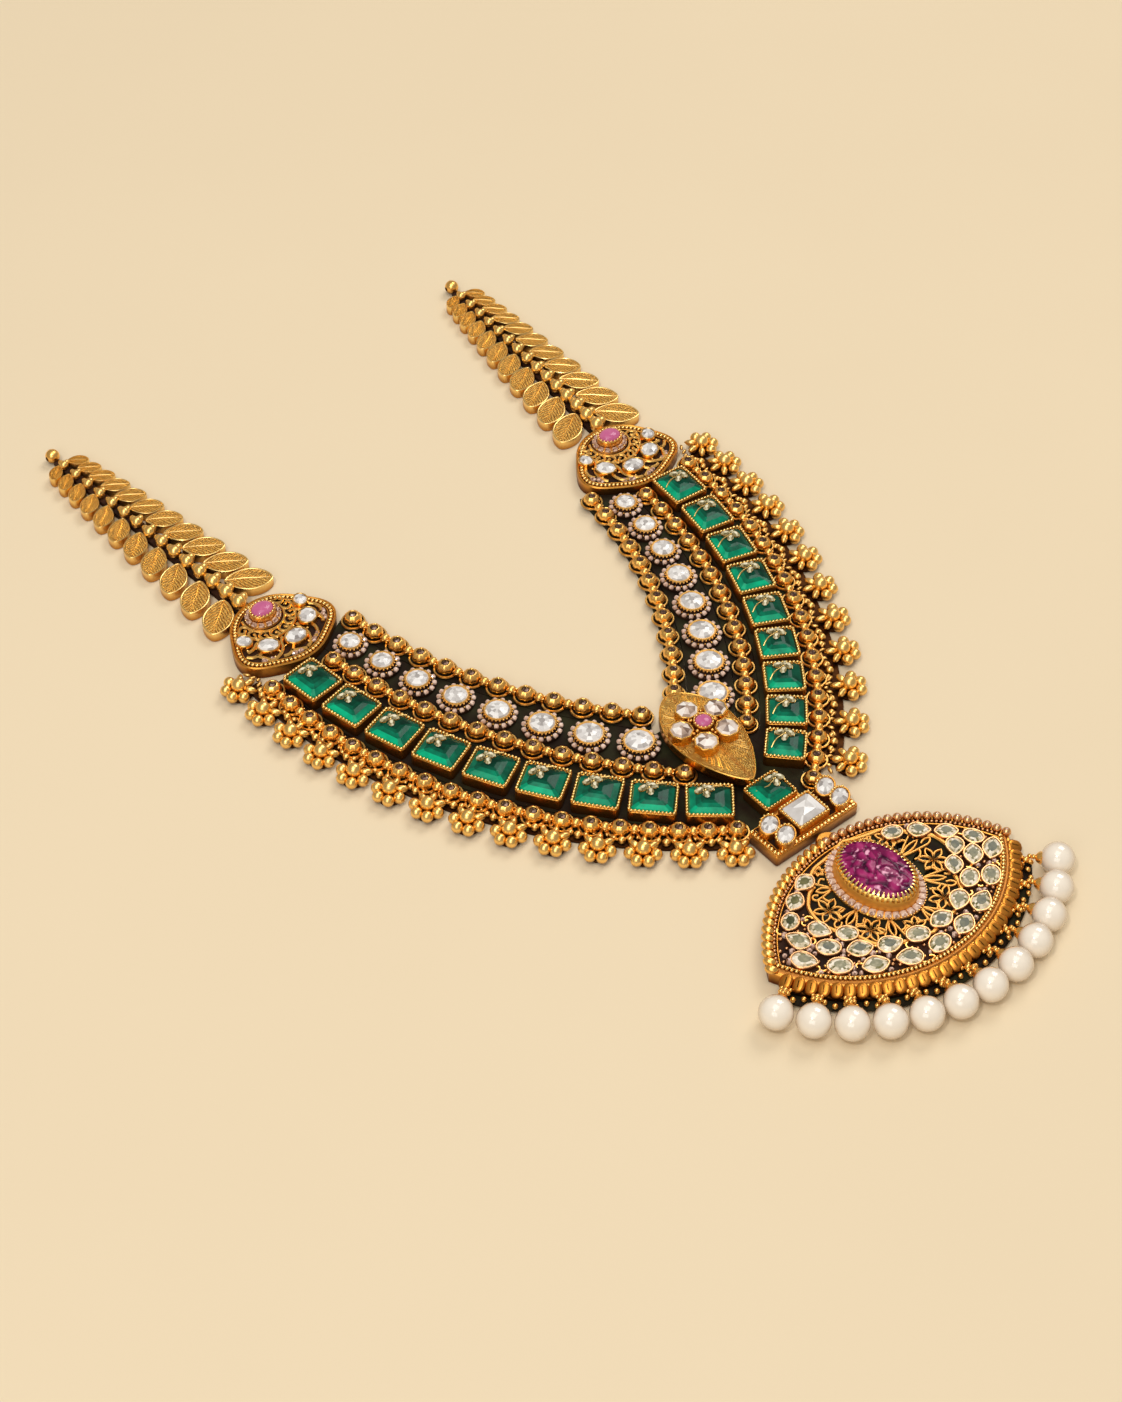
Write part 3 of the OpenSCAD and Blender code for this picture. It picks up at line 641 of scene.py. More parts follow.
def leafMaterial(name, gold, bright, line):
    # Satin gold, engraved with a midrib and branching veins that follow the leaf
    material, tree, shader = newMaterial(name)
    split = newNode(tree, "ShaderNodeSeparateXYZ", {0: attributeNode(tree, "leafPlace").outputs["Vector"]})
    side = mathNode(tree, "ABSOLUTE", split.outputs["Y"])
    run = mathNode(tree, "ADD", split.outputs["X"], weighted(tree, side, -0.42, noiseNode(tree, 520.0), 0.16))
    wave = mathNode(tree, "ABSOLUTE", mathNode(tree, "SINE", scaled(tree, run, line)))
    offRib = scaled(tree, mathNode(tree, "GREATER_THAN", side, 0.06), 0.6, 0.4)
    relief = mathNode(tree, "MULTIPLY", mathNode(tree, "POWER", wave, 0.7), offRib)
    grain = noiseNode(tree, 3800.0, 3.0, 0.7)
    streaks = scaled(tree, noiseNode(tree, 1300.0, 3.0, 0.7), 1.3, -0.65)
    mask = mathNode(tree, "MULTIPLY_ADD", relief, 0.95, streaks, clamp=True)
    feed(tree, shader, {"Metallic": 1.0, "Base Color": mixColour(tree, mask, gold + (1,), bright + (1,)),
                        "Roughness": scaled(tree, grain, 0.24, 0.31)})
    bumpTo(tree, shader, weighted(tree, relief, 0.7, grain, 0.6), 1.0, 0.0006)
    return material


leafGold = leafMaterial("veined_gold", (0.48, 0.17, 0.028), (1.0, 0.64, 0.17), 30.0)
centreGold = leafMaterial("centre_leaf_gold", (0.60, 0.22, 0.038), (1.0, 0.66, 0.18), 120.0)


def stoneMaterial(name, steps, cloud, cloudScale=600.0, rough=0.06, coat=0.15, gloss=0.25):
    # A cut stone: each facet takes its tone from its own attribute, which holds random tones and, on the
    # emeralds, painted light, with soft clouds inside
    material, tree, shader = newMaterial(name)
    clouds = scaled(tree, noiseNode(tree, cloudScale), cloud, -0.5 * cloud)
    value = mathNode(tree, "ADD", attributeNode(tree, "tone").outputs["Fac"], clouds, clamp=True)
    feed(tree, shader, {"Base Color": rampNode(tree, value, steps), "Roughness": rough, "IOR": 1.5,
                        "Specular IOR Level": gloss, "Coat Weight": coat, "Coat Roughness": 0.03})
    return material


emeraldGreen = stoneMaterial("emerald_green", [
    (0.0, (0.001, 0.026, 0.014)), (0.35, (0.003, 0.085, 0.046)), (0.62, (0.003, 0.20, 0.105)),
    (1.0, (0.004, 0.50, 0.25))], 0.6, 420.0, 0.09, 0.06, 0.10)
polkiWhite = stoneMaterial("polki_white", [
    (0.0, (0.24, 0.21, 0.20)), (0.35, (0.60, 0.57, 0.55)), (0.75, (0.90, 0.88, 0.86)),
    (1.0, (1.0, 0.99, 0.97))], 0.35, gloss=0.5, coat=0.4)
polkiOld = stoneMaterial("polki_old", [
    (0.0, (0.045, 0.05, 0.012)), (0.3, (0.20, 0.18, 0.07)), (0.56, (0.68, 0.58, 0.40)),
    (1.0, (1.0, 0.92, 0.77))], 0.5, 900.0, coat=0.12)
flowerGem = stoneMaterial("flower_gems", [
    (0.0, (0.14, 0.075, 0.05)), (0.4, (0.52, 0.38, 0.30)), (0.75, (0.88, 0.77, 0.69)),
    (1.0, (1.0, 0.95, 0.90))], 0.6, 700.0, gloss=0.5, coat=0.4)
smallDiamond = stoneMaterial("small_diamonds", [
    (0.0, (0.18, 0.075, 0.04)), (0.4, (0.56, 0.34, 0.25)), (1.0, (0.95, 0.74, 0.61))], 0.9, 1500.0, gloss=0.3,
                             coat=0.1)
eyeDiamond = stoneMaterial("eye_diamonds", [
    (0.0, (0.025, 0.012, 0.008)), (0.5, (0.13, 0.07, 0.05)), (0.85, (0.36, 0.23, 0.18)),
    (1.0, (0.95, 0.76, 0.66))],
    1.0, 1300.0, coat=0.08)
champagne = stoneMaterial("champagne_diamonds", [
    (0.0, (0.10, 0.075, 0.025)), (0.4, (0.42, 0.35, 0.17)), (1.0, (0.92, 0.86, 0.64))], 1.0, 1500.0,
                          gloss=0.4, coat=0.1)
rosePink = stoneMaterial("rose_pink", [
    (0.0, (0.42, 0.075, 0.20)), (0.5, (0.58, 0.13, 0.29)), (1.0, (0.80, 0.30, 0.46))], 0.4, rough=0.14,
                         coat=0.3)


def rubyMaterial():
    # Carved ruby: painted shade in dark plum in the cuts, magenta on the petals, and painted glints as pale
    # flecks
    material, tree, shader = newMaterial("carved_ruby")
    value = mathNode(tree, "ADD", attributeNode(tree, "relief").outputs["Fac"],
                     scaled(tree, noiseNode(tree, 240.0), 0.9, -0.45), clamp=True)
    body = rampNode(tree, value, [(0.0, (0.022, 0.001, 0.014)), (0.3, (0.11, 0.004, 0.045)),
                                  (0.62, (0.27, 0.012, 0.095)), (1.0, (0.56, 0.055, 0.22))])
    glint = scaled(tree, noiseNode(tree, 780.0, 1.0), 8.0, -8.0 * 0.61, clamp=True)
    feed(tree, shader, {"Base Color": mixColour(tree, glint, body, (0.92, 0.46, 0.62, 1)), "Roughness": 0.12,
                        "Specular IOR Level": 0.12, "Coat Weight": 0.1, "Coat Roughness": 0.03})
    return material


def pearlMaterial():
    # Cream body, darkened and warmed towards the rim by painted shade and a painted warm reflection, with a
    # soft sheen
    material, tree, shader = newMaterial("pearl_lustre")
    rim = newNode(tree, "ShaderNodeLayerWeight", {"Blend": 0.5}).outputs["Facing"]
    body = mixColour(tree, noiseNode(tree, 140.0), (0.97, 0.86, 0.72, 1), (1.0, 0.93, 0.82, 1))
    feed(tree, shader, {
        "Base Color": mixColour(tree, mathNode(tree, "POWER", rim, 1.9), body, (0.42, 0.24, 0.10, 1)),
        "Roughness": scaled(tree, noiseNode(tree, 1900.0), 0.06, 0.16),
        "Coat Weight": 1.0, "Coat Roughness": 0.09, "Coat IOR": 1.6})
    return material


carvedRuby = rubyMaterial()
pearlLustre = pearlMaterial()
print("stage: materials made")

# Floor, lights and camera
view = {"elevation": 47.0, "turn": -39.24, "distance": 600.0, "lens": 69.33, "target": (-12.147, -9.881)}


def alongView(across, depth, x=0.0, y=0.0):
    # A point by its distance across the view and away from the camera
    return turned(across, depth, view["turn"], x, y)


def makeCamera():
    data = bpy.data.cameras.new("camera")
    data.sensor_fit, data.sensor_width, data.lens, data.clip_end = "AUTO", 36.0, view["lens"], 10.0
    camera = addObject("camera", data)
    x, y = alongView(0.0, -view["distance"] * cosd(view["elevation"]), *view["target"])
    camera.location = (x * 0.001, y * 0.001, view["distance"] * sind(view["elevation"]) * 0.001)
    camera.rotation_euler = (math.radians(90 - view["elevation"]), 0.0, math.radians(view["turn"]))
    scene.camera = camera


def makeFloor():
    # A pale warm floor, much wider than the view
    mesh = bpy.data.meshes.new("floor")
    mesh.from_pydata([(-1.6, -1.6, -0.0002), (1.6, -1.6, -0.0002), (1.6, 1.6, -0.0002), (-1.6, 1.6, -0.0002)],
                     [], [(0, 1, 2, 3)])
    material, tree, shader = newMaterial("floor_paper")
    paper = mixColour(tree, noiseNode(tree, 9.0, 3.0), (0.824, 0.687, 0.482, 1), (0.857, 0.718, 0.506, 1))
    feed(tree, shader, {"Base Color": paper, "Roughness": 0.9, "Specular IOR Level": 0.1})
    mesh.materials.append(material)
    addObject("floor", mesh)


def makePanel(name, across, depth, height, size, power, colour=(1.0, 0.98, 0.95)):
    light = bpy.data.lights.new(name, "AREA")
    light.shape = "RECTANGLE"
    light.size, light.size_y = size
    light.energy, light.color = power, colour
    item = addObject(name, light)
    item.location = (*alongView(across, depth), height)
    item.rotation_euler = (-item.location.normalized()).to_track_quat("-Z", "Y").to_euler()


def makeStage():
    # Soft studio light: panels beyond, above and in front, and one small lamp for crisp glints
    makeCamera()
    makeFloor()
    makePanel("key", 0.55, 0.85, 1.2, (0.7, 0.7), 7.4)
    makePanel("top", -0.1, -0.15, 1.5, (0.9, 0.9), 5.6)
    makePanel("front", -0.35, -1.1, 0.9, (0.9, 0.6), 3.4)
    makePanel("spark", -0.3, -0.6, 1.2, (0.09, 0.09), 3.2, (1.0, 0.99, 0.97))
    scene.world = bpy.data.worlds.new("studio")
    scene.world.use_nodes = True
    tree = scene.world.node_tree
    feed(tree, tree.nodes["Background"], {"Color": (1.0, 0.93, 0.83, 1), "Strength": 0.36})
    scene.view_settings.view_transform = "Standard"


makeStage()
print("stage: floor, lights and camera made")

# Rows of each arm, drawn on the right and mirrored for the left:
# centre x, centre y, radius, angle of the first piece, first pitch, last pitch, number
armRows = {
    "right": {
        "inner": [-76.8, 106.1, 106.4, -5.6, 6.1, 5.9, 12],
        "polki": [-81.3, 103.0, 116.4, -6.7, 8.9, 9.8, 8],
        "middle": [-68.4, 95.0, 108.9, -3.2, 6.2, 5.8, 14],
        "emerald": [-71.4, 94.3, 119.3, -4.3, 11.9, 10.0, 9],
        "outer": [-66.9, 93.0, 122.2, -0.9, 6.6, 6.0, 18],
        "flower": [-66.9, 93.0, 129.4, 0.6, 8.6, 11.4, 12]},
    "left": {
        "inner": [-83.6, 119.5, 123.6, -9.3, 6.6, 6.6, 12],
        "polki": [-85.5, 116.0, 131.0, -9.9, 9.6, 11.0, 8],
        "middle": [-88.2, 115.0, 139.7, -9.6, 6.45, 6.8, 14],
        "emerald": [-70.2, 104.7, 128.6, -7.2, 12.0, 12.0, 9],
        "outer": [-55.3, 96.9, 120.5, -1.8, 6.4, 6.2, 19],
        "flower": [-55.3, 96.9, 126.7, 0.6, 9.2, 9.8, 14]}}
rowOrder = ["inner", "polki", "middle", "emerald", "outer"]
strips = {"thick": 0.9, "gap": 0.2, "starts": [0.5, 0.7, 0.7, 0.5, 0.38], "ends": [0.3, 0.3, 0.3, 0.4, 0.3],
          "halves": [2.35, 4.55, 2.35, 4.6, 2.35]}
sides = ["left", "right"]


def station(row, i):
    return row[4] * i + (row[5] - row[4]) * i * (i - 1) / (2 * (row[6] - 2))


def spotAt(row, i, out=0.0):
    return polar(row[2] + out, turnAt(row, i), row[0], row[1])


def turnAt(row, i):
    return row[3] - station(row, i) / row[2] * 180 / math.pi


def armSpots(side, name, shift=0.0, out=0.0, size=1.0):
    # Spots of a row, or of its gaps when shifted; a piece's own X points outwards across the band
    row = armRows[side][name]
    spots = []
    for i in range(row[6] - 1 if shift else row[6]):
        x, y = spotAt(row, i + shift, out)
        turn = turnAt(row, i + shift)
        spots.append((x, y, 0.0, turn, size) if side == "right" else (-x, y, 0.0, 180 - turn, size))
    return spots


def armShape(side, one):
    return one if side == "right" else mirrored(one)


def rowSpot(rows, k, t, out=0.0):
    row, start = rows[rowOrder[k]], strips["starts"][k]
    return spotAt(row, -start + (start + row[6] - 1 + strips["ends"][k]) * t, out)


def border(rows, k, t, which):
    # The line between two strips, with half of the gap on each side
    ax, ay = rowSpot(rows, k, t)
    bx, by = rowSpot(rows, k + 1, t)
    move = (strips["halves"][k] / (strips["halves"][k] + strips["halves"][k + 1])
            + which * strips["gap"] / 2 / math.hypot(bx - ax, by - ay))
    return ax + (bx - ax) * move, ay + (by - ay) * move


def stripShape(side, k):
    rows = armRows[side]
    count = 2 * rows[rowOrder[k]][6]
    low = [rowSpot(rows, k, i / count, -1.3) if k == 0 else border(rows, k - 1, i / count, 1)
           for i in range(count + 1)]
    high = [rowSpot(rows, k, i / count, 1.3) if k == 4 else border(rows, k, i / count, -1)
            for i in range(count + 1)]
    points = [(x, y, z) for z in (0.0, strips["thick"]) for pair in zip(low, high) for x, y in pair]
    half = 2 * (count + 1)
    faces = []
    for i in range(count):
        a, b, c, d = 2 * i, 2 * i + 1, 2 * i + 3, 2 * i + 2
        faces += [(a, b, c, d), (a + half, d + half, c + half, b + half), (a, d, d + half, a + half),
                  (b, b + half, c + half, c)]
    faces += [(0, half, half + 1, 1), (2 * count, 2 * count + 1, 2 * count + 1 + half, 2 * count + half)]
    return armShape(side, shape(points, faces))


# Ball cups: a barrel with a wire rim, a grooved ball, and a small diamond set in its top
cup = {"left": 1.0, "right": 0.95, "ring": 2.56, "wire": 0.30, "ringAt": 1.55}


def cupParts(s):
    barrel = lathe([(2.2, 0.7), (2.36, 0.85), (2.48, 1.2), (2.44, 1.45), (2.3, 1.45), (2.25, 0.9)], 22)
    rim = hoop(cup["ring"], cup["wire"], cup["ringAt"], 24)
    body = lathe([(0.6, 0.95), (1.35, 1.15), (1.88, 1.70), (2.10, 2.40), (2.00, 3.05), (1.62, 3.60),
                  (1.26, 3.88),
                  (1.06, 3.95), (0.90, 3.84), (0.86, 3.4)], 32, 8, 0.10)
    # painted shade: the eyes are dark discs in the ball's top and over the barrel, where the recesses lie in
    # shade
    eye = joined([lathe([(1.0, 3.2), (0.86, 3.56), (0.0, 3.56)], 12),
                  lathe([(2.28, 0.98), (2.2, 1.05), (0.0, 1.05)], 22)])
    stone = cutStone(oval(1.5, 1.5, 6), [(3.4, 0.9), (3.78, 1.0), (4.05, 0.45)], spread=0.5, seed=4)
    grains = [placed(ball(0.44, 6, 4), *polar(0.92, 60 * k), 2.35) for k in range(6)]
    bridge = joined([ball(1.14, 12, 8, 2.3)] + grains)
    return [placed(one, size=s) for one in (barrel, joined([rim, body]), eye, stone, bridge)]


def makeCups():
    for side in sides:
        cups, links = ([spot for name in ("inner", "middle", "outer") for spot in armSpots(side, name, shift)]
                       for shift in (0.0, 0.5))
        barrel, body, eye, stone, bridge = cupParts(cup[side])
        setPieces(side + "_cup_bodies", body, cups, goldSatin, [side + "_cup_rows"], sharp=50)
        setPieces(side + "_cup_barrels", barrel, cups, goldWall)
        setPieces(side + "_cup_eyes", eye, cups, ground)
        setStones(side + "_cup_diamonds", stone, cups, eyeDiamond)
        setPieces(side + "_cup_links", bridge, links, goldSatin)
        # the dark strips under the rows paint the shade in the gaps between them
        makePiece(side + "_cup_strips", joined([stripShape(side, k) for k in (0, 2, 4)]), ground)


makeCups()
print("stage: cup rows made")

# Emeralds: boxes with beaded rims, pyramid-cut stones and a sprig of champagne diamonds
emeraldSet = {"across": 9.2, "space": 1.5, "wall": 0.7, "top": 4.0, "seat": 2.3, "bead": 0.84}


def emeraldLength(row, i):
    last = row[6] - 1
    run = station(row, min(i + 1, last)) - station(row, max(i - 1, 0))
    return run / (1 if i in (0, last) else 2) - emeraldSet["space"]


def emeraldBox(l, floorZ):
    return collar(roundBox(emeraldSet["across"], l, 0.9), emeraldSet["wall"], floorZ,
                  emeraldSet["top"] - 0.12,
                  emeraldSet["seat"], 0.16)


def emeraldStone(l, turn, seed):
    # Painted light: the crown is bright where it faces down the view, as if lit through the stone, and the
    # upper facets and the middle are painted dark
    outline = roundBox(emeraldSet["across"] - 1.4, l - 1.4, 0.7, 1)
    points, faces, tones = cutStone(outline, [
        (emeraldSet["seat"] + 0.02, 0.92), (3.7, 1.0), (4.10, 0.95), (4.62, 0.68), (4.88, 0.42),
        (4.98, 0.22)],
        turned(*alongView(-0.35, -0.9), -turn), 0.10, seed)
    shares = [1.0, 1.0, 0.95, 0.6, 0.38]
    for k in range(1, len(faces) - 1):
        tones[k] *= shares[(k - 1) // len(outline)]
    tones[-1] = 0.12
    return points, faces, tones


def sprigParts():
    # Three petals and a small stone near the far edge, with a wire stem
    petal = cutStone(oval(2.0, 1.4, 8), [(0.0, 0.8), (0.3, 1.0), (0.62, 0.45)], spread=0.45, seed=7)
    small = cutStone(oval(1.0, 1.0, 6), [(0.0, 0.9), (0.25, 1.0), (0.5, 0.4)], spread=0.45, seed=8)
    back = lathe([(0.5, -0.25), (0.62, 0.1), (0.0, 0.1)], 8)
    spots = [(-1.1, 0.2, 205), (0.95, 0.35, -35), (0.05, -1.05, 80)]
    stones = [placed(petal, x, y, 0.05, turn) for x, y, turn in spots] + [placed(small, 0.15, 0.95, 0.1)]
    backs = [placed(back, x, y, 0, turn, stretch=(1.75, 1.25, 1)) for x, y, turn in spots]
    return joined(stones), joined(backs + [placed(ball(0.22, 6, 4), 0.0, -0.1, 0.4)])


# For each side, across and away in the view: the sprig's place, its stem's end, and its lean
sprigs = {"left": [(-1.0, 1.75), (2.6, 3.6), 14], "right": [(-0.1, 1.95), (-3.2, -1.6), -10]}
sprigStones, sprigBacks = sprigParts()


def makeSprigs(name, spots, stems, wire):
    setStones(name + "_stones", sprigStones, spots, champagne)
    setPieces(name + "_backs", sprigBacks, spots, goldBright)
    wireLine(name + ("_stems" if len(stems) > 1 else "_stem"), stems, wire, wire, goldBright)


def makeEmeralds():
    for side in sides:
        boxes, rims, spots, stems = [], [], [], []
        place, tip, lean = sprigs[side]
        for i, (x, y, _, turn, _) in enumerate(armSpots(side, "emerald")):
            l = emeraldLength(armRows[side]["emerald"], i)
            boxes.append(placed(emeraldBox(l, 0.4), x, y, 0, turn))
            outline = inset(roundBox(emeraldSet["across"], l, 0.9), 0.33)
            rims.append((atHeight([turned(*p, turn, x, y) for p in outline], emeraldSet["top"] + 0.04), True))
            makePiece(side + "_emerald_cut_" + str(i + 1),
                      placed(emeraldStone(l, turn, 11 * i + len(side)), x, y, 0, turn),
                      emeraldGreen, [side + "_emerald_" + str(i + 1)], 1)
            start, end = alongView(*place, x, y), alongView(*tip, x, y)
            spots.append((*start, 4.82, view["turn"] + lean, 1.12))
            middle = ((start[0] + end[0]) / 2 - 0.3, (start[1] + end[1]) / 2 + 0.4)
            stems.append((smoothPath([(*start, 5.1), (*middle, 5.0), (*end, 4.35)], 5), False))
        makePiece(side + "_emerald_boxes", joined(boxes), goldWall, [side + "_emerald_settings"])
        # the dark strip paints the shade in the gaps beside the emeralds
        makePiece(side + "_emerald_strip", stripShape(side, 3), ground)
        beadLine(side + "_emerald_beads", ball(0.40, 8, 5), rims, emeraldSet["bead"], goldBright)
        makeSprigs(side + "_sprig", spots, stems, 0.36)


makeEmeralds()
print("stage: emeralds made")

# Round stones, each in a ring of small square diamonds
roundSet = {"first": 2.5, "last": 3.35, "stones": 15}


def squareCut(l, w, levels, seed, corner=0.2, base=0.5):
    return cutStone(roundBox(l, w, corner, 1), levels, spread=0.5, seed=seed, base=base)


def makePolki():
    square = squareCut(1.05, 0.98, [(-0.25, 1.0), (0.22, 1.0), (0.5, 0.5)], 2, base=0.62)
    for side in sides:
        bases, bezels, stones, smalls, grains = [], [], [], [], []
        spots = armSpots(side, "polki")
        for i, (x, y, _, turn, _) in enumerate(spots):
            r = roundSet["first"] + (roundSet["last"] - roundSet["first"]) * i / (len(spots) - 1)
            bases.append(placed(lathe([
                (r - 0.2, 0.5), (r + 1.15, 0.6), (r + 1.42, 1.4), (r + 1.3, 1.85), (r + 0.5, 1.95),
                (r + 0.18, 2.3),
                (r + 0.05, 2.9), (0.0, 2.9)], 36), x, y, 0, turn))
            bezels.append(placed(hoop(r - 0.06, 0.26, 3.22, 36), x, y, 0, turn))
            stones.append(placed(cutStone(oval(2 * r - 0.36, 2 * r - 0.36, 12), [
                (2.6, 0.9), (3.25, 1.0), (3.62, 0.86), (3.88, 0.55), (4.0, 0.24)], spread=0.34, seed=i
                                          + len(side)),
                x, y, 0, turn))
            count = roundSet["stones"] if r > 2.8 else roundSet["stones"] - 2
            for k in range(count):
                a, b = 360 * (k + 0.5) / count, 360 * (k + 1) / count
                smalls.append((*polar(r + 1.0, a, x, y), 2.1, a, 1.0, 14))
                grains.append((*polar(r + 0.6, b, x, y), 2.3, b, 1.0))
            rim = int(2 * math.pi * r / 0.78)
            grains += [(*polar(r + 0.22, 360 * k / rim, x, y), 3.0, 0, 1.0) for k in range(rim)]
        makePiece(side + "_round_bases", joined(bases), fieldGround, [side + "_polki_settings"])
        # the dark strip paints the shade in the gaps beside the round stones
        makePiece(side + "_round_strip", stripShape(side, 1), ground)
        makePiece(side + "_round_bezels", joined(bezels), goldSatin)
        makeStones(side + "_round_stones", joined(stones), polkiWhite, [side + "_polki_stones"])
        setStones(side + "_halo_diamonds", square, smalls, smallDiamond)
        setPieces(side + "_halo_grains", ball(0.23, 6, 4), grains, goldSatin)


makePolki()
print("stage: round stones made")

# Flower fringe; for each side the heads' shift and the rail's edges, outwards from the row
flower = {"ring": 2.72, "petal": 1.3, "middle": 1.62, "step": 51.4,
          "left": [-0.7, -5.8, -2.6], "right": [0.0, -6.8, -1.5]}


def flowerParts():
    # Four balls outwards and three pointed petals towards the cups, round a larger ball
    petals = []
    for k in range(4):
        a = -77.1 + flower["step"] * k
        petals.append(placed(ball(flower["petal"], 14, 9), *polar(flower["ring"], a), 1.75, a,
                             stretch=(1.0, 0.97, 1.0)))
    drop = lying(lathe([(0.0, -1.6), (0.4, -1.35), (0.85, -0.6), (0.92, 0.1), (0.66, 0.9), (0.0, 1.65)], 10))
    for k in range(3):
        a = 128.6 + flower["step"] * k
        petals.append(placed(drop, *polar(2.45, a), 1.9, a, stretch=(1.0, 0.86, 1.0)))
    back = lathe([(2.6, 0.0), (2.9, 0.3), (2.7, 0.8), (0.0, 0.85)], 14)
    hooks = [placed(ball(0.52, 8, 5), x, y, 1.25, turn, stretch=(long, 0.8, 0.8))
             for x, y, turn, long in ((-4.2, 1.2, 20, 1.7), (-4.2, -1.2, -20, 1.7), (-3.7, 2.7, 55, 1.9),
                                      (-3.7, -2.7, -55, 1.9), (-4.8, 0.0, 0, 1.2))]
    return joined(petals + [ball(flower["middle"], 16, 10, 2.7)] + hooks), back


def makeFlowers():
    heads, back = flowerParts()
    for side in sides:
        row = armRows[side]["flower"]
        shift, low, high = flower[side]
        spots = armSpots(side, "flower", 0.0, shift, 1.06)
        setPieces(side + "_flower_heads", heads, spots, goldFlower, [side + "_flower_fringe"], sharp=60)
        setPieces(side + "_flower_backs", back, spots, goldDark)
        between = [spot for step, out, size in ((0.5, -3.7, 1.1), (0.32, -4.3, 0.9), (0.68, -4.3, 0.9))
                   for spot in armSpots(side, "flower", step, out, size)]
        setPieces(side + "_flower_links", placed(ball(0.85, 10, 7, 1.35)), between, goldFlower, sharp=60)
        # the rail that carries the flowers
        count = 2 * row[6] - 1
        outline = ([spotAt(row, i / 2, low) for i in range(count)]
                   + [spotAt(row, i / 2, high) for i in reversed(range(count))])
        makePiece(side + "_flower_rail", armShape(side, slab(outline, 0.0, 0.7)), goldDark)


makeFlowers()
print("stage: flowers made")

# Leaf chains: bead x, bead y, plate end x, plate end y, last leaf outside and inside
chain = {"right": [53.0, 181.2, 47.2, 114.0, 64.6, 62.6], "left": [61.6, 190.6, 55.2, 118.6, 70.9, 66.1],
         "pairs": 11, "buds": 15, "start": 5.9, "growth": 0.6, "first": 4.9, "last": 10.6, "wide": 0.63,
         "turn": 52, "outFirst": 3.3, "outLast": 6.5, "top": 2.4, "bead": 1.75, "blunt": 0.58}


def leafParts(l):
    # Wall and polished rim, the field inside it with its places, and raised veins on the field
    wide, rim, top = l * chain["wide"], 0.3, chain["top"]
    outline = [(x - l / 2, y) for x, y in leafOutline(l, wide, 1.1, 18, chain["blunt"])]
    edge = inset(outline, rim * 0.8)
    field = stack([[(x * (1 - 0.10 * (1 - part)), y * part, z) for x, y in edge] for part, z in (
        (1.0, 0.1), (1.0, top - 0.14), (0.72, top - 0.06), (0.42, top - 0.02), (0.12, top))])
    veins = [ridge([(-0.46 * l, 0.0, top - 0.1), (-0.1 * l, 0.02 * l, top), (0.25 * l, 0.0, top - 0.02),
                    (0.45 * l, 0.0, top - 0.1)], 0.34, 0.14)]
    for k in range(9):
        x0 = l * (-0.38 + 0.09 * k)
        x1 = min(x0 + 0.15 * l, 0.43 * l)
        y1 = leafHalf(x1 / l + 0.5, wide, 1.1, chain["blunt"]) - rim - 0.08
        for way in (-1, 1):
            path = [(x0 + (x1 - x0) * t ** 0.8, way * y1 * t, top - 0.02 - 0.1 * t)
                    for t in (0.05, 0.35, 0.7, 1.0)]
            veins.append(ridge(path, 0.20, 0.13))
    places = leafPlaces([(x / l + 0.5, y / wide * 2, 0.0) for x, y, z in field[0]])
    return ringWall(outline, rim, 0.0, top), field, places, joined(veins)


def budShape():
    # A rounded heart: a bulb and two full ears
    drop = lying(lathe([(0.0, -0.8), (0.5, -0.6), (0.72, 0.0), (0.58, 0.5), (0.28, 0.85), (0.0, 1.05)], 10))
    ears = [placed(drop, 0.42, way * 0.5, 1.15, way * 34, stretch=(1.0, 0.9, 0.95)) for way in (1, -1)]
    bulb = placed(ball(0.98, 14, 9), -0.32, 0, 1.12, stretch=(1.1, 1.0, 1.08))
    return joined([bulb] + ears + [lathe([(0.7, 0.0), (0.75, 0.8), (0.0, 0.9)], 8)])


def beadShape():
    # The end bead: a turned ball with a hole across it and a faint ridge
    r, hole, count = chain["bead"], 0.6, 24
    edge = math.degrees(math.acos(hole / r))
    profile = [polar(r, edge * (k / 7 - 1)) for k in range(15)]
    profile = [(x + (0.07 if k == 7 else 0.0), y) for k, (x, y) in enumerate(profile)]
    points = [(x * cosd(360 * k / count), y, r + x * sind(360 * k / count)) for k in range(count) for x,
              y in profile]
    return shape(points, web(count, len(profile)))


def makeChains():
    wall, field, places, veins = leafParts(8.0)
    for side in sides:
        x0, y0, x1, y1, outside, inside = chain[side]
        along, size = math.degrees(math.atan2(y1 - y0, x1 - x0)), math.hypot(x1 - x0, y1 - y0)
        seat = (x0, y0, along, side)
        leaves = []
        for i in range(chain["pairs"]):
            t = i / (chain["pairs"] - 1)
            share = t * (1 + chain["growth"] * t) / (1 + chain["growth"])
            out = chain["outFirst"] + (chain["outLast"] - chain["outFirst"]) * t
            s = (chain["first"] + (chain["last"] - chain["first"]) * t) / 7.5
            for way, last in ((-1, inside), (1, outside)):
                x = chain["start"] + (last - chain["start"]) * share
                leaves.append(seatSpot(seat, x, way * out, 0.0, way * chain["turn"], (s, s, 1.0)))
        setPieces(side + "_leaf_rims", wall, leaves, leafRim, [side + "_leaf_chain"])
        setPieces(side + "_leaf_veins", veins, leaves, goldBright, ())
        setPieces(side + "_leaf_fields", field, leaves, leafGold, (), 60, places)
        buds = []
        for k in range(chain["buds"]):
            t = k / (chain["buds"] - 1)
            spot = seatSpot(seat, 4.6 + (size - 6.4) * t, 0.0, 0.8, 0.0, 1.0)
            buds.append((*spot[:3], 90 + view["turn"] + (8 if side == "left" else -4), 1.12 + 0.64 * t))
        setPieces(side + "_leaf_buds", budShape(), buds, goldFlower, (), 60)
        spine = [(1.1, -0.7), (5.0, -1.1), (size, -1.9), (size, 1.9), (5.0, 1.1), (1.1, 0.7)]
        makePiece(side + "_leaf_spine", seatShape(seat, slab(spine, 0.0, 1.2)), fieldGround)
        makePiece(side + "_leaf_bead", seatShape(seat, beadShape()), goldSatin, (), 60)


makeChains()
print("stage: leaf chains made")


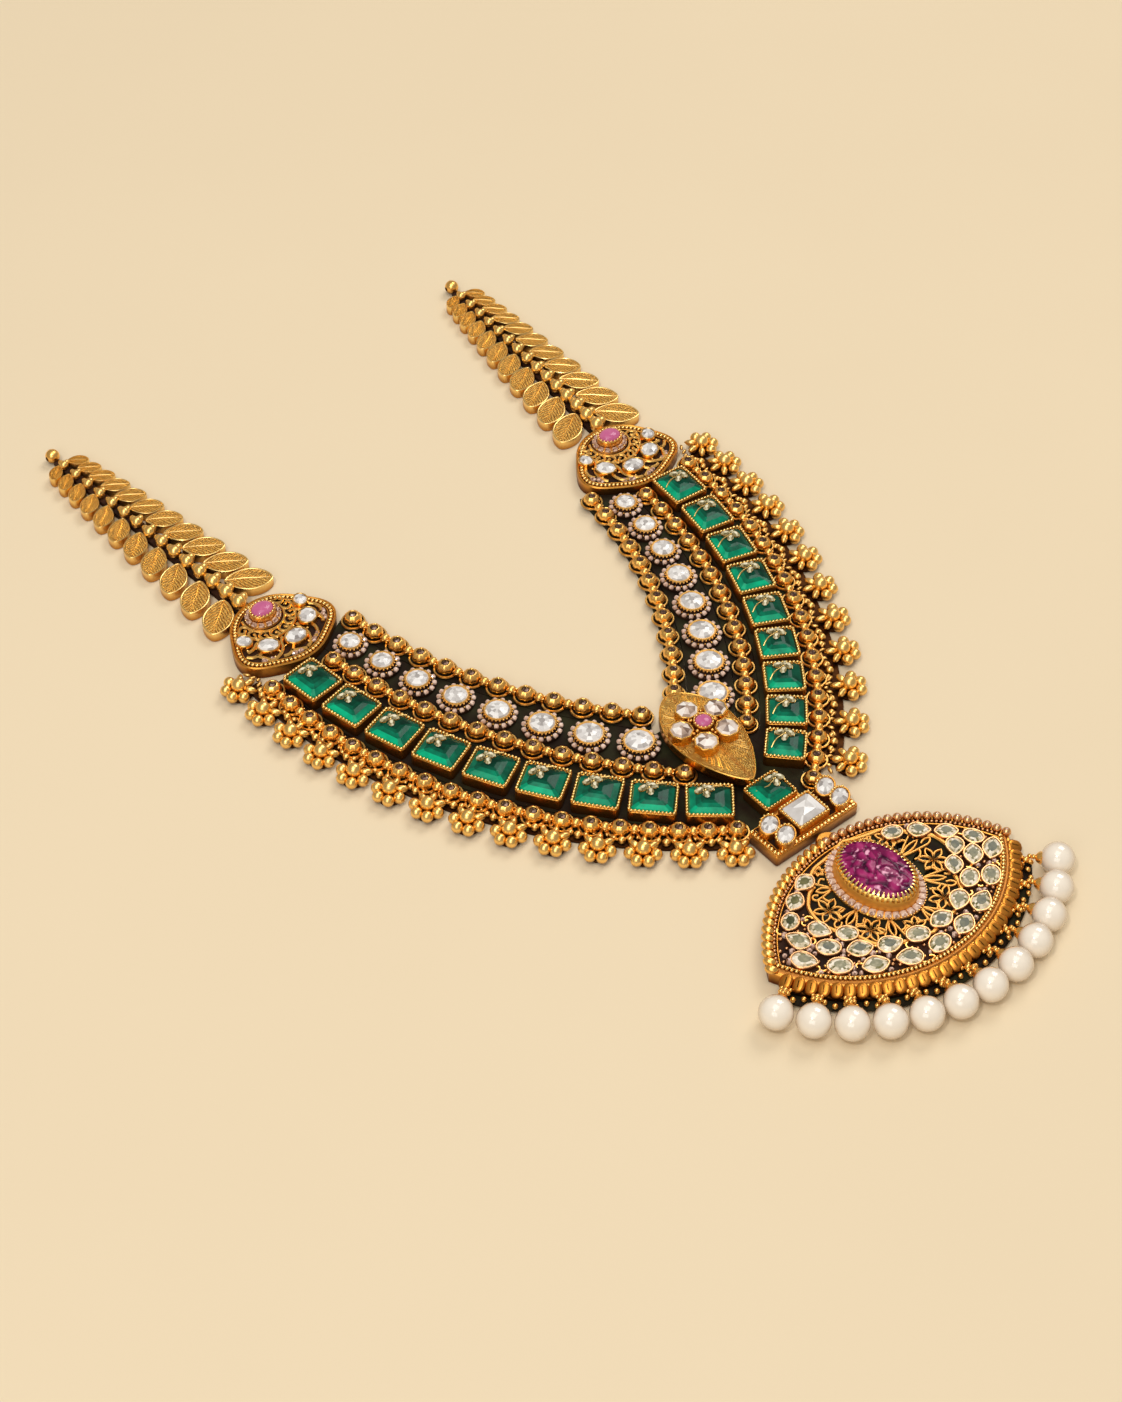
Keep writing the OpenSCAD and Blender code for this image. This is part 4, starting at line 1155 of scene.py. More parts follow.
# Pierced plates are filled flat curves
def piercedShape(name, outline, holes, low, high):
    data = bpy.data.curves.new(name, "CURVE")
    data.dimensions = "2D"
    data.fill_mode = "BOTH"
    for ring in [outline] + holes:
        spline = data.splines.new("POLY")
        spline.points.add(len(ring) - 1)
        for point, (x, y) in zip(spline.points, ring):
            point.co = (x, y, 0.0, 1.0)
        spline.use_cyclic_u = True
    data.extrude = (high - low) / 2
    item = addObject(name, data)
    mesh = bpy.data.meshes.new_from_object(item.evaluated_get(bpy.context.evaluated_depsgraph_get()))
    work = bmesh.new()
    work.from_mesh(mesh)
    bmesh.ops.remove_doubles(work, verts=work.verts, dist=0.0005)
    work.verts.index_update()
    points = [(v.co.x, v.co.y, v.co.z + (low + high) / 2) for v in work.verts]
    faces = [tuple(v.index for v in f.verts) for f in work.faces]
    work.free()
    bpy.data.objects.remove(item)
    bpy.data.meshes.remove(mesh)
    return shape(points, faces)


# End plates; the stones by angle and distance from the cabochon, length and width
endPlate = {"right": [44.6, 102.6, -4], "left": [53.4, 107.0, -7], "top": 2.8, "radius": 11.3, "corner": 2.6,
            "rubyY": 5.6, "stones": [[-163, 9.4, 3.2, 2.8], [-131, 10.2, 4.6, 3.8], [-93, 10.6, 5.0, 4.0],
                                     [-55, 10.2, 4.6, 3.8], [-22, 9.6, 3.4, 3.0]]}


def plateEdge(t):
    return endPlate["radius"] + endPlate["corner"] * (
        max(0.0, cosd(t + 14)) ** 10 + max(0.0, cosd(t - 194)) ** 10)


def plateOutline(depth, count=96):
    return inset([polar(plateEdge(360 * k / count), 360 * k / count) for k in range(count)], depth)


def insideEdge(x, y, depth):
    return math.hypot(x, y) < plateEdge(math.degrees(math.atan2(y, x))) - depth


def scrollGap(cy, r, t, sweep, w):
    return arcPath(r - w / 2, t, t + sweep, 4, 0.0, cy) + [
        polar(r + w / 2 * sind(45 * k), t + sweep * k / 4, 0.0, cy) for k in (3, 2, 1)]


def plateJewels(side, seat):
    # White stones in their collars, and the pink cabochon in its beaded collar
    top, rubyY = endPlate["top"], endPlate["rubyY"]
    collars, stones = [], []
    for j, (a, d, l, w) in enumerate(endPlate["stones"]):
        x, y = polar(d, a, 0.0, rubyY)
        collars.append(placed(collar(oval(l + 0.8, w + 0.8, 22), 0.32, top - 0.6, top + 1.35, top + 0.5,
                                     0.12),
                              x, y, 0, a + 90))
        stones.append(placed(cutStone(oval(l + 0.15, w + 0.15, 9), [
            (top + 0.52, 0.9), (top + 1.18, 1.0), (top + 1.55, 0.8), (top + 1.85, 0.36)], spread=0.42, seed=j
                                      + 3,
            table=0.4), x, y, 0, a + 90))
    makeStones(side + "_plate_stones", seatShape(seat, joined(stones)), polkiWhite, [side + "_end_polki"])
    cone = placed(lathe([(4.3, top - 0.4), (4.45, top + 0.1), (4.2, top + 0.4), (3.1, top + 0.95),
                         (2.6, top + 1.0), (0, top + 1.0)], 36), 0, rubyY, stretch=(1.0, 0.9, 1))
    makePiece(side + "_plate_cone", seatShape(seat, cone), goldDark)
    collars.append(placed(collar(oval(6.4, 5.5, 30), 0.42, top, top + 2.6, top + 1.6, 0.16), 0, rubyY))
    makePiece(side + "_plate_collars", seatShape(seat, joined(collars)), gold)
    cab = placed(lathe([(2.3, top + 1.5), (2.35, top + 2.4), (2.1, top + 2.95), (1.5, top + 3.35),
                        (0.7, top + 3.52), (0.0, top + 3.55)], 24), 0, rubyY, stretch=(1.18, 0.98, 1))
    makePiece(side + "_plate_cabochon", seatShape(seat, cab), rosePink, [side + "_end_ruby"],
              60)
    claws = [(x, y + rubyY, top + 2.6) for x, y in oval(5.8, 4.9, 40)]
    beadLine(side + "_plate_claws", ball(0.34, 7, 5), [(seatPath(seat, claws), True)], 0.92, goldBright)


def plateScrolls(side, seat):
    # Scrolls between the stones, and small stones and grains near the rim
    top, rubyY = endPlate["top"], endPlate["rubyY"]
    halo, ribbons, fine, specks, dots, long = [], [], [], [], [], []
    for k in range(13):
        a = 360 * k / 13 + 9
        halo.append(seatSpot(seat, 3.78 * cosd(a), rubyY + 3.38 * sind(a), top + 0.72, a, 1.0, 26))
        dots.append(seatSpot(seat, 4.2 * cosd(a + 14), rubyY + 3.8 * sind(a + 14), top + 0.55, 0, 0.72))
    for reach, low, high in ((4.95, -205, 25), (7.5, -206, 26)):
        ring = [(x, rubyY + 0.97 * y, top + 0.10) for x, y in arcPath(reach, low, high, 40)]
        ribbons.append([p for p in ring if math.hypot(p[0], p[1]) < 9.6])
    for k in range(9):
        ribbons.append(smoothPath([(*polar(r, -192 + 24 * k + b, 0.0, rubyY), top + 0.13) for r, b in (
            (5.0, 0), (5.7, 7), (6.5, 6), (7.35, -2), (7.1, -9), (6.3, -8), (5.9, -4))], 4))
    curls = (((-2.2, -6), (-0.9, 0), (0.7, 2), (2.2, 7), (3.6, 14), (4.0, 20)),
             ((1.2, -10), (2.4, -6), (3.3, 0), (3.4, 6)), ((4.2, -17), (3.2, -9), (2.6, -3)))
    for this, after in zip(endPlate["stones"], endPlate["stones"][1:]):
        mid, reach = (this[0] + after[0]) / 2, (this[1] + after[1]) / 2
        for curl in curls:
            line = [polar(reach + r, mid + s, 0.0, rubyY) for r, s in curl]
            line = [p for p in line if insideEdge(*p, 2.1)]
            if len(line) > 2:
                fine.append(smoothPath(atHeight(line, top + 0.2), 4))
        for r, s, kind in ((3.7, 10, 0), (0.6, -2, 1), (1.5, 8, 1), (-2.6, 2, 1), (3.0, 14, 1),
                           (-0.6, -7, 1)):
            x, y = polar(reach + r, mid + s, 0.0, rubyY)
            if insideEdge(x, y, 2.3):
                (dots if kind else specks).append(seatSpot(seat, x, y, top + 0.2, mid + 30, 0.85))
    for k in range(15):
        if k % 4 < 2:
            a = -166 + 10.5 * k
            x, y = polar(plateEdge(a) - 2.75, a)
            long.append(seatSpot(seat, x, y, top + 0.05, a + 90, (1.25, 0.75, 0.9)))
    square = squareCut(1.05, 1.25, [(-0.3, 1.0), (0.22, 1.0), (0.46, 0.5)], 5)
    setStones(side + "_plate_halo", square, halo, smallDiamond)
    for name, paths, width in (("ribbons", ribbons, 0.72), ("vines", fine, 0.85)):
        wireLine(side + "_plate_" + name, [(seatPath(seat, p), False) for p in paths], width, 0.6, goldSatin)
    for name, spots in (("specks", specks), ("baguettes", long)):
        setStones(side + "_plate_" + name, square, spots, smallDiamond)
    setPieces(side + "_plate_dots", ball(0.36, 7, 5), dots, goldBright)


def makeEndPlates():
    top, rubyY = endPlate["top"], endPlate["rubyY"]
    grain = block(roundBox(0.78, 0.86, 0.3, 2), [(-0.5, 0.0), (0.16, 0.0), (0.32, 0.1), (0.38, 0.26)])
    for side in sides:
        seat = (*endPlate[side], side)
        holes = [scrollGap(rubyY, 6.6, -196 + 24 * k, 17, 1.8) for k in range(9)]
        body = piercedShape("plate", plateOutline(0.4, 60), holes, 0.0, top - 0.25)
        makePiece(side + "_plate_ground", seatShape(seat, body), fieldGround, [side + "_end_plate"])
        walls = [ringWall(plateOutline(0.0), 0.62, 0.0, top + 0.3, 0.25),
                 ringWall(plateOutline(1.72), 0.26, top - 0.5, top + 0.22, 0.08)]
        makePiece(side + "_plate_walls", seatShape(seat, joined(walls)), goldWall)
        rim = seatPath(seat, atHeight(plateOutline(1.16), top + 0.10))
        beadLine(side + "_plate_grains", grain, [(rim, True)], 0.98, goldBright)
        plateJewels(side, seat)
        plateScrolls(side, seat)


makeEndPlates()
print("stage: end plates made")

# Centre leaf with five box settings and a pink cabochon
centre = {"length": 30.4, "width": 16.4, "top": 5.4, "tip": (-2.3, 3.9), "lean": 86, "flowerAt": (-1.2, 21.4),
          "reach": 5.3, "turn": 20, "strokes": 150}


def makeCentreLeaf():
    l, w, top, lean = centre["length"], centre["width"], centre["top"], centre["lean"]
    tx, ty = centre["tip"]
    outline = leafOutline(l, w, 1.25, 40, 0.55)
    foot = placed(slab(leafOutline(l - 4.8, w - 4.8, 0.9, 20), 0.0, 4.2), 2.4)
    edge = inset(outline, 0.3)
    field = stack([[(l / 2 + (x - l / 2) * (1 - 0.06 * (1 - part)), y * part, z) for x, y in edge] for part,
                   z in (
        (1.0, 3.2), (1.0, top - 0.12), (0.8, top - 0.06), (0.5, top - 0.02), (0.2, top), (0.04, top))])
    places = leafPlaces([(x / l, y / (w / 2), 0.0) for x, y, z in field[0]])
    finishPiece("centre_leaf_field", meshOf("field", placed(field, tx, ty, 0, lean), True, places),
                centreGold, (),
                60)
    wall = joined([ringWall(outline, 0.36, 3.2, top, 0.14), foot])
    makePiece("centre_leaf_wall", placed(wall, tx, ty, 0, lean), leafWall, ["centre_leaf"])

    # engraved strokes that spread from the flower to the edge
    fx, fy = centre["flowerAt"]
    inside = [turned(*p, lean, tx, ty) for p in inset(outline, 0.75)]
    source = random.Random(23)
    strokes = []
    for k in range(centre["strokes"]):
        a = 360 * (k + source.uniform(-0.3, 0.3)) / centre["strokes"]
        start = source.uniform(4.5, 9.0)
        path = []
        for j in range(9):
            x, y = polar(start + j * source.uniform(1.0, 1.3), a + 1.6 * j * sind(2 * (a - lean)), fx, fy)
            if not insidePath(x, y, inside):
                break
            path.append((x, y, top - 0.01))
        if len(path) > 2:
            strokes.append(ridge(path, 0.18, 0.08))
    makePiece("centre_leaf_strokes", joined(strokes), goldBright, (), 60)

    boxes, stones, grains = [], [], []
    gem = [polar(2.85, 45 * k + 22.5) for k in range(8)]
    for k in range(5):
        a = centre["turn"] + 72 * k
        x, y = polar(centre["reach"], a, fx, fy)
        boxes.append(placed(collar(gem, 0.42, top - 0.2, top + 2.3, top + 1.3), x, y, 0, a))
        stones.append(placed(cutStone([(px * 0.86, py * 0.86) for px, py in gem], [
            (top + 1.32, 0.9), (top + 2.2, 1.0), (top + 2.6, 0.80), (top + 3.2, 0.18)], spread=0.5, seed=21
                                      + k,
            table=0.3), x, y, 0, a))
        for r, z, swing in ((3.35, 1.5, -8), (3.35, 1.5, 8), (4.5, 1.1, 0), (2.75, 2.2, 0)):
            grains.append((*polar(r, a + 36 + swing, fx, fy), top + z, a + 36, 1.0))
    makePiece("centre_flower_boxes", joined(boxes), leafWall)
    tower = collar(oval(4.6, 4.6, 28), 0.42, top - 0.2, top + 3.0, top + 1.8, 0.14)
    makePiece("centre_flower_tower", placed(tower, fx, fy), goldWall)
    makeStones("centre_flower_gems", joined(stones), flowerGem, ["centre_flower_stones"])
    cab = lathe([(1.8, top + 1.6), (1.86, top + 2.85), (1.6, top + 3.3), (1.0, top + 3.55),
                 (0.0, top + 3.65)], 20)
    makePiece("centre_cabochon", placed(cab, fx, fy), rosePink, ["centre_ruby"], 60)
    claws = [(fx + x, fy + y, top + 3.0) for x, y in oval(4.1, 4.1, 36)]
    beadLine("centre_claws", ball(0.30, 7, 5), [(claws, True)], 0.86, goldBright)
    setPieces("centre_grains", ball(0.42, 8, 5), grains, goldSatin)


makeCentreLeaf()
print("stage: centre leaf made")

# Connector plate
link = {"wide": 23.4, "long": 9.0, "top": -5.2, "thick": 2.8, "emerald": (-0.6, 0.2, 8.2),
        "square": (0.6, -9.0, 8.8, 7.4), "ovals": [[-7.8, -7.4, 35], [-7.0, -11.6, 35], [8.7, -6.9, 35],
                                                   [9.1, -11.0, 35]]}


def makeConnector():
    w, l, top, thick = link["wide"], link["long"], link["top"], link["thick"]
    base = block(roundBox(w, l, 0.5, 2), [(0.0, 0.1), (0.15, 0.0), (thick - 0.15, 0.0), (thick, 0.2)])
    tongue = slab(roundBox(9.0, 10.3, 0.3, 1), 0.0, 2.28)
    makePiece("connector_body", joined([placed(base, 0, top - l / 2), placed(tongue, 0, -2.0)]), goldWall,
              ["connector_plate"])
    # a dark sheet under the middle paints the shade in the gaps between the pieces there
    backing = [(-9.5, -5.0), (9.0, -5.0), (11.5, 19.0), (5.5, 30.0), (-8.5, 30.0), (-11.5, 19.0)]
    makePiece("connector_backing", slab(backing, 0.0, 0.85), ground)
    floor = slab(roundBox(w - 2.2, l - 1.4, 0.3, 1), thick - 0.2, thick + 0.03)
    makePiece("connector_floor", placed(floor, 0, top - l / 2 + 0.6), fieldGround)
    x0, x1, y0, y1 = -w / 2 + 0.66, w / 2 - 0.66, top - l + 0.66, top - 0.4
    grain = block(roundBox(0.80, 1.02, 0.3, 2), [(-0.4, 0.0), (0.3, 0.0), (0.5, 0.14), (0.56, 0.3)])
    rim = atHeight([(x0, y1), (x0, y0), (x1, y0), (x1, y1)], thick + 0.1)
    beadLine("connector_beads", grain, [(rim, False)], 1.02, goldBright)
    frames = [placed(ringWall(inset(roundBox(w, l, 0.5, 2), d), 0.2, thick - 0.3, thick + 0.34, 0.06),
                     0, top - l / 2) for d in (0.08, 1.36)]

    # the square stone, the ovals on both sides of it and the emerald above
    sx, sy, sl, sw = link["square"]
    frames.append(placed(collar(roundBox(sl, sw, 0.6), 0.62, thick - 0.6, 5.0, 3.4, 0.15), sx, sy))
    lines = [([(sx + x, sy + y, 5.06) for x, y in inset(roundBox(sl, sw, 0.6), 0.32)], True)]
    square = cutStone(roundBox(sl - 1.2, sw - 1.2, 0.5, 1), [
        (3.4, 0.9), (4.8, 1.0), (5.05, 0.95), (5.5, 0.5), (5.8, 0.04)], spread=0.3, seed=31)
    makeStones("connector_square_cut", placed(square, sx, sy), polkiWhite, ["connector_square_stone"])
    cuts = []
    for j, (x, y, turn) in enumerate(link["ovals"]):
        frames.append(placed(collar(oval(6.0, 4.5, 26), 0.46, thick - 0.6, 4.9, 3.6, 0.14), x, y, 0, turn))
        cuts.append(placed(cutStone(oval(5.05, 3.55, 12), [(3.6, 0.9), (4.7, 1.0), (5.05, 0.8), (5.35, 0.35)],
                                    spread=0.42, seed=41 + j, table=0.45), x, y, 0, turn))
        part = inset(oval(6.0, 4.5, 26), 0.2)[:18 if j % 2 else 9]
        lines.append((atHeight([turned(*p, turn, x, y) for p in part], 4.9), False))
    makeStones("connector_oval_cuts", joined(cuts), polkiWhite, ["connector_oval_stones"])
    makePiece("connector_frames", joined(frames), goldWall)
    ex, ey, el = link["emerald"]
    makePiece("centre_emerald_box", placed(emeraldBox(el, 1.2), ex, ey), goldWall)
    makePiece("centre_emerald_cut", placed(emeraldStone(el, 0, 77), ex, ey), emeraldGreen, ["centre_emerald"],
              1)
    outline = inset(roundBox(emeraldSet["across"], el, 0.9), 0.36)
    lines.append(([(ex + x, ey + y, emeraldSet["top"] + 0.02) for x, y in outline], True))
    beadLine("connector_milgrain", ball(0.34, 7, 5), lines, emeraldSet["bead"], goldBright)
    makeSprigs("centre_sprig", [(1.6, 1.3, 4.82, view["turn"] + 10, 1.12)],
               [([(1.2, 1.1, 5.1), (-0.8, 0.6, 5.05), (-3.6, 1.5, 4.4)], False)], 0.26)


makeConnector()
print("stage: connector made")

# Pendant, drawn about the centre of its lower edge; for each row of stones: which edge it follows,
# first and last distance, first and last angle, number, length and width
pendant = {"y": -20.4, "turn": -4, "lower": 36.4, "upper": 35.4, "gap": 32.3, "top": 3.0,
           "ruby": (0.5, -11.5),
           "rubyTurn": 12, "a": 6.3, "b": 8.9, "wall": 7.4, "scales": 29, "rope": 2.0,
           "rosettes": [-94, -52, -10, 38, 84, 132, 182, 226],
           "stones": [[0, 31.4, 32.2, -142, -36, 9, 5.0, 3.7], [0, 26.9, 28.1, -147, -39.5, 9, 4.8, 3.6],
                      [0, 22.9, 23.2, -139, -125, 2, 4.3, 3.4], [0, 24.2, 24.4, -47, -35, 2, 4.3, 3.4],
                      [1, 30.6, 31.2, 133, 113, 3, 4.3, 3.3], [1, 30.8, 31.0, 36, 68, 4, 4.3, 3.3]]}
pendantSeat = (0.0, pendant["y"], pendant["turn"], "right")
rubyAt = pendant["ruby"]
# One half of the lobed frame round the pierced work, from the bottom cusp to the top
frameHalf = [(0.0, -28.6), (3.6, -27.6), (8.2, -26.6), (11.6, -24.2), (13.1, -20.9), (13.9, -18.6),
             (16.2, -16.6),
             (17.4, -13.0), (16.9, -9.2), (14.8, -6.5), (13.0, -5.3), (12.0, -3.4), (9.6, -1.6), (6.0, -0.9),
             (3.0, -0.2), (0.0, 0.9)]
frameLine = smoothPath([(1.6 + x, y) for x, y in frameHalf], 4)
frameLine += [(3.2 - x, y) for x, y in reversed(frameLine[1:-1])]


def onPendant(one):
    return seatShape(pendantSeat, one)


def onRuby(one):
    return onPendant(placed(one, *rubyAt, 0, pendant["rubyTurn"]))


def pendantLine(path, z, closed=False):
    return seatPath(pendantSeat, atHeight(path, z)), closed


def rubyLine(reach, z):
    ring = oval(2 * pendant["a"] + reach, 2 * pendant["b"] + reach, 90)
    return pendantLine([turned(*p, pendant["rubyTurn"], *rubyAt) for p in ring], z, True)


def pendantEdges(depth):
    low, high, gap = pendant["lower"] - depth, pendant["upper"] - depth, pendant["gap"]
    cross = (high * high - low * low - gap * gap) / (2 * gap)
    a = math.degrees(math.asin(cross / low))
    b = math.degrees(math.asin((cross + gap) / high))
    return arcPath(low, -180 - a, a, 60), arcPath(high, b, 180 - b, 60, 0.0, -gap)


def pendantOutline(depth):
    low, high = pendantEdges(depth)
    return low[:-1] + high[:-1]


def ellipseR(a, b, t):
    return a * b / math.sqrt((b * cosd(t)) ** 2 + (a * sind(t)) ** 2)


def makePendantBody():
    top = pendant["top"]
    holes = []
    for k in range(13):
        t = -225 + 22.5 * k
        r0 = ellipseR(9.9, 12.4, t - pendant["rubyTurn"])
        r1 = 14.6 + 1.5 * abs(cosd(2.5 * (t + 90))) - 0.7
        holes.append([turned(r0 + x, y, t, *rubyAt) for x, y in leafOutline(r1 - r0, 2.6, 1.25, 6)])
    body = piercedShape("pendant", pendantOutline(0.5), holes, 0.0, top - 0.12)
    # the dark ground under the pierced work paints the shade seen through its openings
    makePiece("pendant_ground", onPendant(body), ground, ["pendant_plate"])
    field = piercedShape("field", pendantOutline(0.6), [frameLine], top - 0.15, top)
    makePiece("pendant_field", onPendant(field), fieldGround)
    lug = lathe([(2.7, 0.0), (2.8, 0.4), (2.8, 2.1), (2.5, 2.4), (0.0, 2.4)], 24)
    makePiece("pendant_walls", onPendant(joined([
        ringWall(pendantOutline(0.0), 0.9, 0.0, top + 0.25, 0.25),
        ringWall(pendantOutline(2.35), 0.3, top - 0.3, top + 0.5, 0.08),
        placed(lug, 0, pendant["upper"] - pendant["gap"])])), goldWall)


def makePendantEdge():
    # Left edge: a rope of slanted beads; right edge: round beads with a small diamond in each
    top = pendant["top"]
    high = pendantEdges(0.5)[1]
    ropeTop = pendantLine([p for p in high if p[0] < -1.5], top + 0.5)
    beadTop = pendantLine([p for p in high if p[0] >= -1.5], top + 0.6)
    rope = placed(ball(1.0, 12, 8), stretch=(1.5, 0.98, 1.0))
    beadLine("pendant_rope", rope, [ropeTop], pendant["rope"], gold, 64)
    beadLine("pendant_round_beads", ball(1.06, 12, 8), [beadTop], 2.05, roseGold)
    pip = cutStone(oval(1.0, 1.0, 6), [(0.55, 0.9), (0.85, 1.0), (1.08, 0.4)], spread=0.5, seed=12)
    beadLine("pendant_bead_diamonds", pip, [beadTop], 2.05, smallDiamond)
    beadLine("pendant_edge_grains", ball(0.42, 7, 5), [pendantLine(pendantEdges(1.85)[1], top + 0.45)], 0.98,
             roseGold)
    grain = placed(ball(0.5, 8, 5), stretch=(0.85, 1.2, 0.9))
    beadLine("pendant_border_grains", grain, [pendantLine(pendantEdges(2.0)[0], top + 0.55)], 0.98,
             goldBright)
    wireLine("pendant_ledge", [pendantLine(pendantEdges(1.2)[0], top + 0.2)], 1.3, 0.6, goldDark)

    # rounded tiles along the lower edge, each lying on the next
    tile = stack([[(x, y, z + 0.24 * y - 0.16 * x) for x, y in inset(roundBox(3.5, 2.75, 1.3), d)]
                  for z, d in ((-0.9, 0.3), (0.0, 0.0), (0.30, 0.16), (0.46, 0.5), (0.52, 1.0))])
    spots = []
    for k in range(pendant["scales"]):
        a = -145.8 + 111.8 * k / (pendant["scales"] - 1)
        spots.append(seatSpot(pendantSeat, *polar(pendant["lower"] + 0.72, a), 2.85, a, 1.0, 12))
    setPieces("pendant_scales", tile, spots, scaleGold, sharp=50)
    under = (arcPath(pendant["lower"] + 1.9, -146.5, -33.5, 60)
             + arcPath(pendant["lower"] - 1, -33.5, -146.5, 60))
    makePiece("pendant_scale_base", onPendant(slab(under, 0.0, 1.8)), goldDark)


def petalPath(x, y, turn, l, w):
    path = []
    for k in range(12):
        u, side = (k / 6, 1) if k <= 6 else (2 - k / 6, -1)
        path.append(turned(l * u, side * w / 2 * sind(180 * u ** 1.15) ** 0.9, turn, x, y))
    return path


def rayReach(t):
    # How far the frame is from the ruby's centre in one direction
    best = 10.0
    for step in range(80, 240):
        if insidePath(*polar(step * 0.1, t, *rubyAt), frameLine):
            best = step * 0.1
    return best


def makeJali():
    z = pendant["top"] + 0.22
    spots = pendant["rosettes"]
    fine = []
    for t in spots:
        # six pointed petals
        r0 = ellipseR(pendant["a"] + 2.7, pendant["b"] + 2.5, t - pendant["rubyTurn"])
        r1 = rayReach(t)
        l = min((r1 - r0) / 2, 3.3)
        x, y = polar((r0 + r1) / 2 + 0.1, t, *rubyAt)
        fine += [pendantLine(petalPath(x, y, t + 30 + 60 * k, l, l * 0.44), z, True) for k in range(6)]
    for t, after in zip(spots, spots[1:] + [spots[0] + 360]):
        # a bud between two scrolls
        mid = (t + after) / 2
        r0 = ellipseR(pendant["a"] + 2.6, pendant["b"] + 2.4, mid - pendant["rubyTurn"])
        room = rayReach(mid) - r0
        if room < 1.2:
            continue
        fine.append(pendantLine(petalPath(*polar(r0, mid, *rubyAt), mid, room * 0.72, 1.3), z, True))
        for way in (-1, 1):
            wide = way * min(1.0, room / 4.5)
            for curl, steps in ((((0.0, 0.1), (0.22, 0.9), (0.5, 1.6), (0.82, 2.3), (0.98, 1.6), (0.86, 0.9),
                                  (0.68, 1.1)), 4), (((0.5, 1.6), (0.45, 2.4), (0.3, 3.0), (0.15, 2.7)), 3)):
                path = [turned(r0 + room * r, wide * s, mid, *rubyAt) for r, s in curl]
                fine.append(pendantLine(smoothPath(path, steps), z))
    wireLine("pendant_jali_frame", [pendantLine(frameLine, z + 0.08, True)], 0.95, 0.6, jaliGold)
    wireLine("pendant_jali_vines", fine, 0.52, 0.45, jaliGold)


def rubyRelief():
    # Carved petals: sloping cells with creases between them, on a low dome
    source = random.Random(17)
    seeds = []
    while len(seeds) < 24:
        r, t = math.sqrt(source.random()), source.uniform(0, 360)
        x, y = polar(r, t)
        if all(math.hypot(x - s[0], y - s[1]) > 0.22 for s in seeds):
            seeds.append((x, y, source.uniform(0, 6.28), source.uniform(0.45, 1.0), source.uniform(0, 360),
                          source.uniform(0.2, 0.9)))
    rings, around = 30, 84
    points, relief = [(0.0, 0.0, 5.3)], [0.5]
    for j in range(1, rings + 3):
        part = min(1.0, j / rings)
        for k in range(around):
            x, y = polar(part, 360 * k / around)
            near = []
            for sx, sy, turn, height, lean, slope in seeds:
                dx, dy = x - sx, y - sy
                u = dx * math.cos(turn) + dy * math.sin(turn)
                v = -dx * math.sin(turn) + dy * math.cos(turn)
                near.append((math.hypot(u / 2.3, v + 1.8 * u * u), height,
                             slope * (dx * cosd(lean) + dy * sind(lean)) / 0.35))
            near.sort()
            far, height, tilt = near[0]
            rise = min(1.0, (near[1][0] - far) * 11.0)
            pillow = rise * (2 - rise) * (0.75 * height + 0.25 * tilt)
            z = 7.35 + 1.0 * (1 - part ** 2.6) + 0.62 * (pillow - 0.35) * (1 - part ** 8)
            if j > rings:
                z, s = (7.2, 1.0) if j == rings + 1 else (5.2, 0.96)
                x, y = x * s, y * s
            points.append((x * (pendant["a"] - 0.1), y * (pendant["b"] - 0.1), min(z, 9.18)))
            # the relief value also paints shade: darker near the creases between the cells
            relief.append(min(1.0, max(0.0, (0.45 + 0.55 * rise) * (0.1 + 0.65 * height) + 0.4 * tilt
                                       + 0.10 * math.sin(26 * far))))
    points[0] = (0.0, 0.0, points[1][2])
    faces = [(0, 1 + k, 1 + (k + 1) % around) for k in range(around)]
    faces += [tuple(1 + k for k in face) for face in web(rings + 2, around, False)]
    faces.append(tuple(1 + (rings + 1) * around + k for k in range(around)))
    return shape(points, faces), relief


def makeRuby():
    top, l, w = pendant["top"], 2 * pendant["a"], 2 * pendant["b"]
    one, relief = rubyRelief()
    mesh = meshOf("ruby", onRuby(one), True, ("relief", "FLOAT", "value", relief))
    finishPiece("pendant_ruby_carving", mesh, carvedRuby, ["pendant_ruby"], 70)
    wall = block(oval(l + 1.2, w + 1.2, 64), [(top - 0.2, -0.3), (4.4, -0.36), (5.6, -0.24), (6.5, 0.02),
                                              (7.0, 0.3),
                                              (7.1, 0.55), (5.2, 0.62)])
    makePiece("pendant_ruby_wall", onRuby(wall), bezelGold, sharp=60)
    foot = [(-0.36, -0.34), (0.36, -0.34), (0.36, 0.30), (-0.36, 0.30)]
    claw = stack([[(x * s, y * part + move, z) for x, y in foot]
                  for z, s, part, move in ((-1.3, 0.9, 1.0, 0.0), (-0.3, 0.85, 1.0, 0.0),
                                           (0.25, 0.75, 0.8, 0.25),
                                           (0.55, 0.3, 0.5, 0.85))])
    beadLine("pendant_ruby_claws", claw, [rubyLine(0.62, pendant["wall"])], 1.08, goldBright)
    skirt = block(oval(l + 5.2, w + 5.2, 64), [
        (top - 0.3, 0.0), (top + 0.3, 0.0), (top + 0.5, 0.2), (top + 0.7, 1.9)])
    makePiece("pendant_halo_base", onRuby(skirt), goldWall)
    square = squareCut(1.36, 1.5, [(-0.3, 1.0), (0.36, 1.0), (0.7, 0.5)], 6, 0.25, 0.65)
    beadLine("pendant_halo", square, [rubyLine(3.5, top + 0.62)], 1.68, smallDiamond)
    for name, reach in (("outer", 5.15), ("inner", 1.9)):
        beadLine("pendant_halo_" + name + "_grains", ball(0.24, 6, 4), [rubyLine(reach, top + 0.68)], 0.74,
                 goldSatin)


